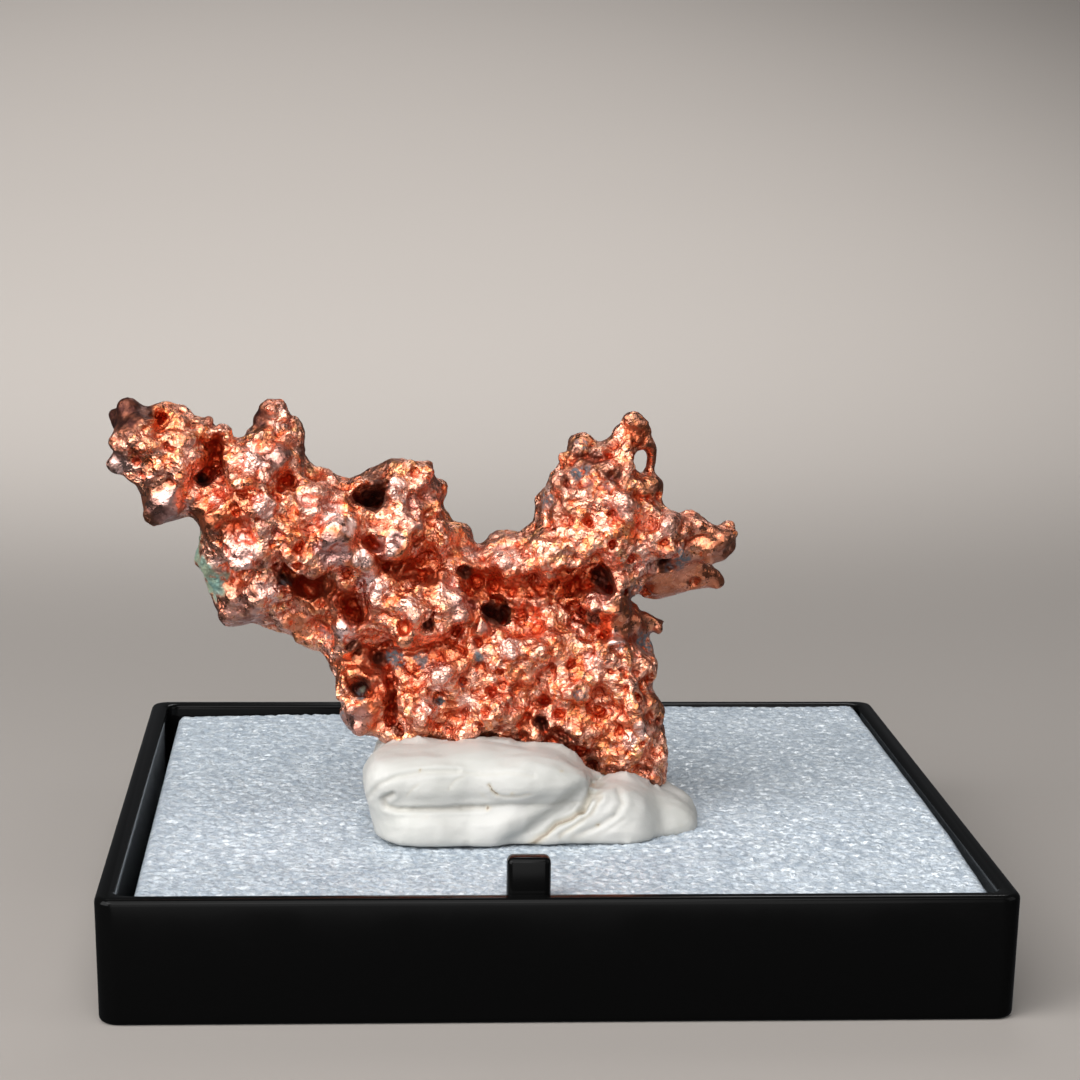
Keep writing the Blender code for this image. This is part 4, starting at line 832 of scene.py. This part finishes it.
def copper_material():
    n = Nodes("native_copper")
    polish = n.attribute("polish")
    shade, tint, seed = n.cell_shades(SPECK_CELL)
    wide_shade, wide_tint, _ = n.cell_shades(PATCH_CELL)
    broad = n.ramp(n.noise(2.6, 3.0), 0.36, 0.62)
    colour = n.mix(broad, WARM_COPPER, ROSE_COPPER)
    gold = n.ramp(n.noise(1.7, 3.0, 0.5, 0.5), 0.5, 0.64, 0.0, 0.7)
    colour = n.mix(gold, colour, GOLDEN_COPPER)
    colour = n.mix(n.ramp(wide_tint, 0.62, 0.76, 0.0, 0.7), colour, RUSTY_COPPER)
    colour = n.mix(n.ramp(wide_shade, 0.7, 0.82, 0.0, 0.55), colour, BLUSH_COPPER)
    colour = n.mix(n.ramp(tint, 0.6, 0.75, 0.0, 0.8), colour, BROWN_COPPER)
    # Painted glints: random pale specks that stand in for tiny highlights.
    colour = n.mix(n.ramp(shade, 0.6, 0.8, 0.0, 0.75), colour, PAINTED_GLINT_COPPER)
    red = n.math("MULTIPLY", n.attribute("red"), n.ramp(n.noise(0.6, 3.0), 0.25, 0.5, 0.6, 1.0))
    for place, share, finish in (
        # orange: painted shade in cups and crevices
        (n.attribute("orange"), 0.7, ORANGE_CUP_SHADE),
        # red: painted shade in crevices
        (red, 0.9, RED_CREVICE_SHADE),
        # hollow: painted shade, darker and redder in hollows
        (n.ramp(n.attribute("hollow"), 0.55, 0.8), 0.85, HOLLOW_SHADE_COPPER),
        (polish, 0.75, WORN_COPPER),
        (n.attribute("mauve"), 0.8, MAUVE_COPPER),
        # pale: painted highlights
        (n.attribute("pale"), 0.8, PAINTED_HIGHLIGHT_COPPER),
    ):
        colour = n.mix(n.math("MULTIPLY", place, share), colour, finish)
    # Tarnish, with painted shade in the deepest pits and holes.
    brown = n.math("MULTIPLY", n.attribute("tarnish_and_pit_shade"), n.ramp(n.noise(0.7, 3.0), 0.3, 0.55, 0.65, 1.0))
    colour = n.mix(brown, colour, TARNISH_AND_PIT_SHADE)
    green = n.math("MULTIPLY", n.attribute("green"), n.ramp(n.noise(0.8, 4.0), 0.34, 0.46), True)
    colour = n.mix(green, colour, n.mix(n.ramp(n.noise(1.6, 3.0), 0.4, 0.6), GREEN_CRUST, OLIVE_CRUST))
    grey = n.math("MULTIPLY", n.attribute("grey"), n.ramp(n.noise(0.4, 4.0, 0.65), 0.4, 0.54), True)
    colour = n.mix(grey, colour, GREY_CRUST)
    dull = n.math("ADD", green, grey, True)
    metal = n.math("SUBTRACT", 1.0, n.math("MULTIPLY", dull, 0.7))
    dusty = n.math("ADD", n.math("MULTIPLY", dull, 0.35), n.math("MULTIPLY", brown, 0.22))
    dusty = n.math("ADD", dusty, n.math("MULTIPLY", red, 0.12))
    rough = n.math("ADD", n.ramp(tint, 0.1, 0.9, 0.19, 0.42), dusty, True)
    coarse = n.ramp(polish, 0.2, 0.9, 1.0, 0.35)
    relief = n.bump(seed, 0.085, coarse)
    relief = n.bump(n.noise(0.14, 3.0, 0.6), 0.05, coarse, relief)
    relief = n.bump(n.noise(0.7, 2.0), 0.12, 0.3, relief)
    return n.finish(Base_Color=colour, Metallic=metal, Roughness=rough, Normal=relief)


# ---------------------------------------------------------------- putty


# Creases in the putty's front, as points x and z on the plane y = PUTTY_FACE, then width, depth and dirt.
PUTTY_FACE = -15.0
PUTTY_LINES = (
    (
        ((-10.2, 11.2), (-10.8, 10.9), (-10.6, 10.4), (-9.9, 10.2), (-7.0, 10.2), (-4.2, 10.3)),
        0.15, 0.2, 0.22,
    ),
    (((-4.2, 10.3), (-2.5, 10.5), (0.0, 10.45), (2.0, 10.6)), 0.13, 0.07, 0.1),
    (
        ((-12.2, 10.4), (-11.8, 11.0), (-11.0, 11.9), (-9.8, 12.4), (-8.0, 12.7), (-6.0, 12.75)),
        0.16, 0.09, 0.12,
    ),
    (((-6.0, 12.75), (-4.4, 12.5), (-2.8, 12.6), (-1.0, 12.4)), 0.12, 0.05, 0.12),
    (((-3.95, 11.85), (-3.75, 11.4), (-3.4, 11.1)), 0.08, 0.14, 0.85),
    (((-3.4, 11.1), (-2.9, 11.0), (-2.1, 11.05), (-1.2, 11.2)), 0.08, 0.07, 0.3),
    (((-2.6, 7.6), (-1.2, 8.0), (-0.2, 8.5), (0.5, 9.2), (1.5, 9.6), (2.2, 10.1)), 0.17, 0.2, 0.75),
    (((2.2, 10.1), (2.7, 11.1), (2.95, 12.1), (3.1, 12.8)), 0.22, 0.4, 0.5),
    (((1.6, 8.2), (3.2, 9.0), (4.3, 9.7), (4.8, 10.6), (4.5, 11.5)), 0.2, 0.11, 0.12),
    (((2.2, 8.0), (3.8, 8.7), (4.9, 9.5)), 0.12, 0.07, 0.08),
    (((0.7, 8.4), (1.6, 9.0), (2.8, 9.9), (3.4, 11.0)), 0.12, 0.09, 0.4),
    (((3.1, 11.0), (3.3, 11.8), (3.6, 12.5)), 0.25, 0.25, 0.35),
    (((-9.3, 11.1), (-8.9, 11.6), (-8.5, 11.9)), 0.08, 0.04, 0.2),
    (((-6.6, 11.5), (-6.2, 12.1), (-5.6, 12.4)), 0.08, 0.04, 0.2),
)
# Where the putty's outline sags, x and z on that plane, then radius and depth.
PUTTY_DENTS = ((2.5, 14.6, 1.7, 1.1), (3.2, 13.0, 0.6, 0.45))
# Specks of dirt: x, z and radius.
PUTTY_DOTS = ((3.2, 9.1, 0.14), (-4.0, 10.25, 0.16), (-8.4, 12.8, 0.1), (-2.4, 11.2, 0.1), (0.8, 12.9, 0.1))
PUTTY_LOW_EDGE = 8.3
PUTTY_VOXEL = 0.17
PUTTY_SMOOTHING = 22
# The putty is drawn onto the copper that is nearer than this.
PUTTY_GRIP = 1.1
GRIP_FADE = 0.35
GRIP_PULL = 0.96


def putty_lump():
    """The kneaded putty, drawn up against the copper that it grips."""
    putty = merged_copy("putty_mount", "putty_lump")
    remesh(putty, PUTTY_VOXEL)
    smooth(putty, PUTTY_SMOOTHING)
    points, _ = points_of(putty)
    tree = form_tree("copper_nugget")
    for number, point in enumerate(points):
        at, _, _, away = tree.find_nearest(Vector(point) * MM)
        away /= MM
        if away < PUTTY_GRIP:
            share = min(1.0, (PUTTY_GRIP - away) / GRIP_FADE)
            points[number] += (np.array(at) / MM - point) * share * GRIP_PULL
    put_points(putty, points)
    points, normals = points_of(putty)
    rumple = soft_noise(points, size=3.0, shift=2.0) * 0.14
    rumple = rumple + soft_noise(points, size=1.1, shift=8.0) * 0.05
    rumple += soft_noise(points * np.array((0.35, 1.0, 1.6)), size=0.5, shift=4.0) * 0.03
    seen = seen_on(points, PUTTY_FACE)
    front = smooth_step((-normals[:, 1] - 0.05) / 0.3) * (points[:, 1] < -7.0)
    dirt = np.zeros(len(points))
    for chain, width, depth, stain in PUTTY_LINES:
        away = chain_distance(seen, chain) / width
        rumple -= front * depth * np.exp(-away * away)
        rumple += front * 0.3 * depth * np.exp(-((away - 2.2) ** 2))
        dirt = np.maximum(dirt, front * stain * np.exp(-0.9 * away * away))
    for x, z, radius in PUTTY_DOTS:
        away = np.hypot(seen[:, 0] - x, seen[:, 1] - z) / radius
        dirt = np.maximum(dirt, front * np.exp(-away * away))
    low = points[:, 2] < PUTTY_LOW_EDGE
    rumple[low] *= 0.2
    points = points + normals * rumple[:, None]
    points[low, 2] -= (PUTTY_LOW_EDGE - points[low, 2]) * 0.75
    for x, z, radius, depth in PUTTY_DENTS:
        away = np.hypot(seen[:, 0] - x, seen[:, 1] - z) / radius
        points[:, 2] -= depth * np.exp(-away * away) * smooth_step((-5.0 - points[:, 1]) / 2.0)
    put_points(putty, points)
    set_attribute(putty, "dirt", dirt)
    return putty


PUTTY_WHITE = (0.41, 0.403, 0.383)
PUTTY_SHADE = (0.38, 0.377, 0.352)
PUTTY_TAN = (0.42, 0.36, 0.27)
PUTTY_DUST = (0.36, 0.31, 0.225)
PUTTY_DIRT = (0.12, 0.08, 0.055)


def putty_material():
    n = Nodes("white_putty")
    cloud = n.ramp(n.noise(4.0, 3.0), 0.35, 0.65)
    colour = n.mix(cloud, PUTTY_WHITE, PUTTY_SHADE)
    tan = n.ramp(n.noise(1.8, 4.0, 0.6, 1.0), 0.62, 0.76)
    colour = n.mix(n.math("MULTIPLY", tan, 0.18), colour, PUTTY_TAN)
    dirt = n.attribute("dirt")
    colour = n.mix(n.ramp(dirt, 0.02, 0.6, 0.0, 0.7), colour, PUTTY_DUST)
    colour = n.mix(n.ramp(dirt, 0.5, 0.8, 0.0, 0.8), colour, PUTTY_DIRT)
    relief = n.bump(n.noise(0.9, 4.0), 0.08, 0.5)
    relief = n.bump(n.noise(0.15, 2.0), 0.02, 0.4, relief)
    return n.finish(Base_Color=colour, Roughness=0.5, Normal=relief)


# ---------------------------------------------------------------- foam pad


FOAM_GRID = 300
FOAM_CORNER = 1.2
FOAM_CELL = 0.42
FOAM_CUP = 0.16
FOAM_WAVE = 0.06
FOAM_GRIT = 0.04
FOAM_SINK = 0.05
FOAM_EDGE = 0.5
FOAM_RIM_DROP = 0.25
TAB_GAP = 0.3


def foam_sheet():
    """The pad's dented cells on a dense sheet, with its sides drawn down from the sheet's rim."""
    low, high = (np.array(corner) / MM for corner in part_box("foam_pad"))
    size = high - low
    middle = (high + low) / 2
    half = size / 2
    bm = bmesh.new()
    bmesh.ops.create_grid(bm, x_segments=FOAM_GRID, y_segments=FOAM_GRID, size=0.5)
    reach = TAB_WIDTH / 2 + TAB_GAP
    depth = WALL + TAB_DEPTH + TAB_GAP
    for vert in bm.verts:
        x = vert.co.x * size[0]
        y = vert.co.y * size[1]
        over_x = abs(x) - (half[0] - FOAM_CORNER)
        over_y = abs(y) - (half[1] - FOAM_CORNER)
        if over_x > 0 and over_y > 0:
            pull = max(over_x, over_y) / math.hypot(over_x, over_y)
            x = math.copysign(half[0] - FOAM_CORNER + over_x * pull, x)
            y = math.copysign(half[1] - FOAM_CORNER + over_y * pull, y)
        vert.co = Vector((x + middle[0], y + middle[1], 0.0))
    notched = []
    for face in bm.faces:
        at = face.calc_center_median()
        side = 1 if at.y > 0 else -1
        if abs(at.x + side * TAB_X) < reach and abs(at.y) > TRAY_SIDE / 2 - depth:
            notched.append(face)
    bmesh.ops.delete(bm, geom=notched, context="FACES")
    for vert in bm.verts:
        x, y = vert.co.x, vert.co.y
        right = max(0.0, min(1.0, (x - 2.0) / 8.0))
        rear = max(0.0, min(1.0, (y + 24.0) / 12.0))
        sag = FOAM_LEFT_DROP * max(0.0, min(1.0, -x / 25.0)) ** 1.5 - FOAM_RIGHT_RISE * right * rear
        inside = min(half[0] - abs(x - middle[0]), half[1] - abs(y - middle[1]))
        rim = max(0.0, 1.0 - inside / FOAM_EDGE)
        shift = noise.noise_vector((x, y, 1.0)) * 0.1
        cells, _ = noise.voronoi(Vector((x, y, 0.0)) / FOAM_CELL + shift)
        cup = FOAM_CUP * max(0.0, 1.0 - (cells[0] / 0.55) ** 2)
        wave = FOAM_WAVE * noise.noise((x / 4.0, y / 4.0, 3.0))
        grit = FOAM_GRIT * noise.noise((x / 0.3, y / 0.3, 9.0))
        dent = (cup - grit) * (1.0 - rim)
        vert.co.z = FOAM_TOP - FOAM_SINK - sag - dent + wave - FOAM_RIM_DROP * rim * rim
    rim_edges = [edge for edge in bm.edges if edge.is_boundary]
    made = bmesh.ops.extrude_edge_only(bm, edges=rim_edges)
    for item in made["geom"]:
        if isinstance(item, bmesh.types.BMVert):
            item.co.z = low[2]
    bmesh.ops.holes_fill(bm, edges=[edge for edge in bm.edges if edge.is_boundary], sides=0)
    bmesh.ops.scale(bm, vec=(MM, MM, MM), verts=bm.verts)
    bmesh.ops.recalc_face_normals(bm, faces=bm.faces)
    foam = from_bmesh(bm, "foam_sheet")
    foam.data.shade_smooth()
    foam.data.set_sharp_from_angle(angle=math.radians(65))
    return foam


FOAM_PATCH = 0.4
FOAM_SHADE = (0.255, 0.30, 0.35)
FOAM_WHITE = (0.31, 0.355, 0.405)
FOAM_SPECK = (0.60, 0.65, 0.68)
FOAM_GLINT = (0.80, 0.85, 0.88)


def foam_material():
    n = Nodes("white_foam")
    cloud = n.ramp(n.noise(5.0, 3.0), 0.35, 0.65)
    colour = n.mix(cloud, FOAM_SHADE, FOAM_WHITE)
    speck = n.ramp(n.noise(0.5, 4.0, 0.65), 0.42, 0.66)
    colour = n.mix(n.math("MULTIPLY", speck, 0.6), colour, FOAM_SPECK)
    shade, _, seed = n.cell_shades(FOAM_PATCH)
    colour = n.mix(n.ramp(shade, 0.7, 0.9, 0.0, 0.45), colour, FOAM_GLINT)
    relief = n.bump(seed, 0.10, 0.6)
    relief = n.bump(n.noise(0.16, 2.0), 0.05, 0.6, relief)
    rough = n.ramp(shade, 0.4, 0.9, 0.6, 0.22)
    return n.finish(Base_Color=colour, Roughness=rough, Normal=relief)


# ---------------------------------------------------------------- tray


SOFT_EDGE = 0.4
TAB_SINK = 0.25


def block(low, high):
    bm = bmesh.new()
    bmesh.ops.create_cube(bm, size=1.0)
    size = Vector(high) - Vector(low)
    bmesh.ops.scale(bm, vec=size, verts=bm.verts)
    bmesh.ops.translate(bm, vec=(Vector(low) + Vector(high)) / 2, verts=bm.verts)
    return bm


def upright_edges(bm):
    return [edge for edge in bm.edges if abs(edge.verts[0].co.z - edge.verts[1].co.z) > 1.0]


def round_edges(bm, edges, offset, segments):
    bmesh.ops.bevel(
        bm, geom=edges, offset=offset, segments=segments, profile=0.5, affect="EDGES", material=-1
    )


def join_shape(obj, other, operation):
    step = obj.modifiers.new("join", "BOOLEAN")
    step.operation = operation
    step.solver = "EXACT"
    step.object = other
    bake_modifiers(obj)
    bpy.data.objects.remove(other, do_unlink=True)


def tray_shell():
    """The moulded tray: drawn-in sides, softly rounded rim and two tabs rooted in the walls."""
    half = TRAY_SIDE / 2
    bm = block((-half, -half, 0), (half, half, TRAY_HEIGHT))
    narrow = (half - TRAY_DRAFT) / half
    low = [vert for vert in bm.verts if vert.co.z < 1.0]
    bmesh.ops.scale(bm, vec=(narrow, narrow, 1.0), verts=low)
    round_edges(bm, upright_edges(bm), TRAY_CORNER, 8)
    tray = from_millimetres(bm, "tray_shell")
    inner = half - WALL
    bm = block((-inner, -inner, FLOOR), (inner, inner, TRAY_HEIGHT * 2))
    round_edges(bm, upright_edges(bm), TRAY_CORNER * 0.7, 6)
    join_shape(tray, from_millimetres(bm, "hollow"), "DIFFERENCE")
    edge = tray.modifiers.new("soft_edges", "BEVEL")
    edge.width = SOFT_EDGE * MM
    edge.segments = 4
    edge.limit_method = "ANGLE"
    edge.angle_limit = math.radians(50)
    bake_modifiers(tray)
    for side in (-1, 1):
        near = side * (inner + TAB_SINK)
        far = side * (inner - TAB_DEPTH)
        x = TAB_X * -side
        low = (x - TAB_WIDTH / 2, min(near, far), TAB_ROOT)
        high = (x + TAB_WIDTH / 2, max(near, far), TAB_TOP)
        bm = block(low, high)
        round_edges(bm, bm.edges[:], SOFT_EDGE, 4)
        join_shape(tray, from_millimetres(bm, "tab"), "UNION")
    tray.data.shade_smooth()
    tray.data.set_sharp_from_angle(angle=math.radians(32))
    return tray


BLACK = (0.002, 0.002, 0.002, 1.0)
BLACK_SHINE = 0.08


def tray_material():
    n = Nodes("black_plastic")
    smear = n.ramp(n.noise(6.0, 4.0), 0.4, 0.7, 0.13, 0.2)
    relief = n.bump(n.noise(5.0, 2.0), 0.03, 0.25)
    n.shader.inputs["Specular IOR Level"].default_value = BLACK_SHINE
    return n.finish(Base_Color=BLACK, Roughness=smear, Normal=relief)


# ---------------------------------------------------------------- stage


FLOOR_REACH = 3.0
BEND_START = 0.16
BEND = 0.9
BEND_STEPS = 24
BACKDROP_HALF = 1.6
BACKDROP_HEIGHT = 2.0
PALE_GREY = (0.272, 0.248, 0.228, 1.0)


def sweep():
    """A seamless pale floor that curves slowly up into the backdrop."""
    bm = bmesh.new()
    path = [(-FLOOR_REACH, 0.0), (BEND_START, 0.0)]
    for step in range(1, BEND_STEPS + 1):
        angle = math.radians(90 * step / BEND_STEPS)
        path.append((BEND_START + BEND * math.sin(angle), BEND * (1 - math.cos(angle))))
    path.append((BEND_START + BEND, BACKDROP_HEIGHT))
    verts = [bm.verts.new((-BACKDROP_HALF, y, z)) for y, z in path]
    edges = [bm.edges.new(pair) for pair in zip(verts, verts[1:])]
    made = bmesh.ops.extrude_edge_only(bm, edges=edges)
    moved = [item for item in made["geom"] if isinstance(item, bmesh.types.BMVert)]
    bmesh.ops.translate(bm, vec=(BACKDROP_HALF * 2, 0, 0), verts=moved)
    bmesh.ops.recalc_face_normals(bm, faces=bm.faces)
    floor = from_bmesh(bm, "sweep")
    floor.data.shade_smooth()
    n = Nodes("pale_paper")
    floor.data.materials.append(n.finish(Base_Color=PALE_GREY, Roughness=0.9))
    floor.visible_glossy = False


LIT_PLACE = (0.0, -0.005, 0.012)
# Square soft lights: name, place, the place that it is turned to, side and power.
SOFT_LIGHTS = (
    ("key", (-0.10, -0.25, 0.35), LIT_PLACE, 0.44, 2.15),
    ("left", (-0.32, -0.20, 0.18), LIT_PLACE, 0.34, 1.95),
    ("right", (0.34, -0.14, 0.22), LIT_PLACE, 0.30, 0.32),
    ("front", (-0.04, -0.48, 0.13), LIT_PLACE, 0.40, 1.2),
    ("back", (0.06, 0.30, 0.32), LIT_PLACE, 0.14, 0.3),
    ("far glow", (-0.14, 0.42, 0.62), (-0.20, 0.80, 0.08), 0.25, 0.3),
)
# The pool of light on the backdrop.
POOL_PLACE = (-0.05, 0.15, 0.55)
POOL_AIM = (-0.04, 0.38, 0.0)
POOL_CONE = 58.0
POOL_POWER = 17.5
AIR_COLOUR = (0.92, 0.95, 1.0, 1.0)
AIR_STRENGTH = 0.07


def add_light(name, light, place, aim):
    obj = add_object(name, light)
    obj.location = place
    obj.rotation_euler = (Vector(aim) - Vector(place)).to_track_quat("-Z", "Y").to_euler()


def lights():
    for name, place, aim, side, power in SOFT_LIGHTS:
        light = bpy.data.lights.new(name, "AREA")
        light.energy = power
        light.size = side
        add_light(name, light, place, aim)
    pool = bpy.data.lights.new("pool", "SPOT")
    pool.energy = POOL_POWER
    pool.spot_size = math.radians(POOL_CONE)
    pool.spot_blend = 1.0
    pool.shadow_soft_size = 0.03
    add_light("pool", pool, POOL_PLACE, POOL_AIM)
    world = bpy.data.worlds.new("studio")
    bpy.context.scene.world = world
    world.use_nodes = True
    background = world.node_tree.nodes["Background"]
    background.inputs[0].default_value = AIR_COLOUR
    background.inputs[1].default_value = AIR_STRENGTH


# The camera stands where the sight lines start. Angles are in degrees.
CAMERA_DOWN = 9.14
CAMERA_TURN = 3.63
CAMERA_ROLL = 0.743
CAMERA_LENS = 101.0


def camera():
    down = math.radians(CAMERA_DOWN)
    turn = math.radians(CAMERA_TURN)
    roll = math.radians(CAMERA_ROLL)
    ahead = Vector((math.sin(turn) * math.cos(down), math.cos(turn) * math.cos(down), -math.sin(down)))
    right = Vector((math.cos(turn), -math.sin(turn), 0.0))
    up = right.cross(ahead)
    side = right * math.cos(roll) + up * math.sin(roll)
    above = up * math.cos(roll) - right * math.sin(roll)
    data = bpy.data.cameras.new("camera")
    data.lens = CAMERA_LENS
    data.sensor_width = 36.0
    data.clip_start = 0.01
    obj = add_object("camera", data)
    turned = Matrix((side, above, -ahead)).transposed().to_4x4()
    obj.matrix_world = Matrix.Translation(Vector(SIGHT_FROM) * MM) @ turned
    bpy.context.scene.camera = obj


def dress(obj, material, node):
    obj.data.materials.clear()
    obj.data.materials.append(material)
    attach(obj, "root")
    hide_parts(node)


def main():
    clear_default_scene()
    noise.seed_set(NOISE_SEED)
    bpy.context.scene.view_settings.view_transform = "Standard"
    camera()
    copper = copper_material()
    tree = form_tree("copper_nugget")
    skin = copper_form(tree)
    roughen_skin(skin, tree)
    copper_masks(skin, tree)
    skin.data.shade_smooth()
    for piece in split_skin(skin):
        dress(piece, copper, "copper_nugget")
    putty = putty_lump()
    putty.data.shade_smooth()
    dress(putty, putty_material(), "putty_mount")
    dress(foam_sheet(), foam_material(), "foam_pad")
    dress(tray_shell(), tray_material(), "display_base")
    sweep()
    lights()


main()
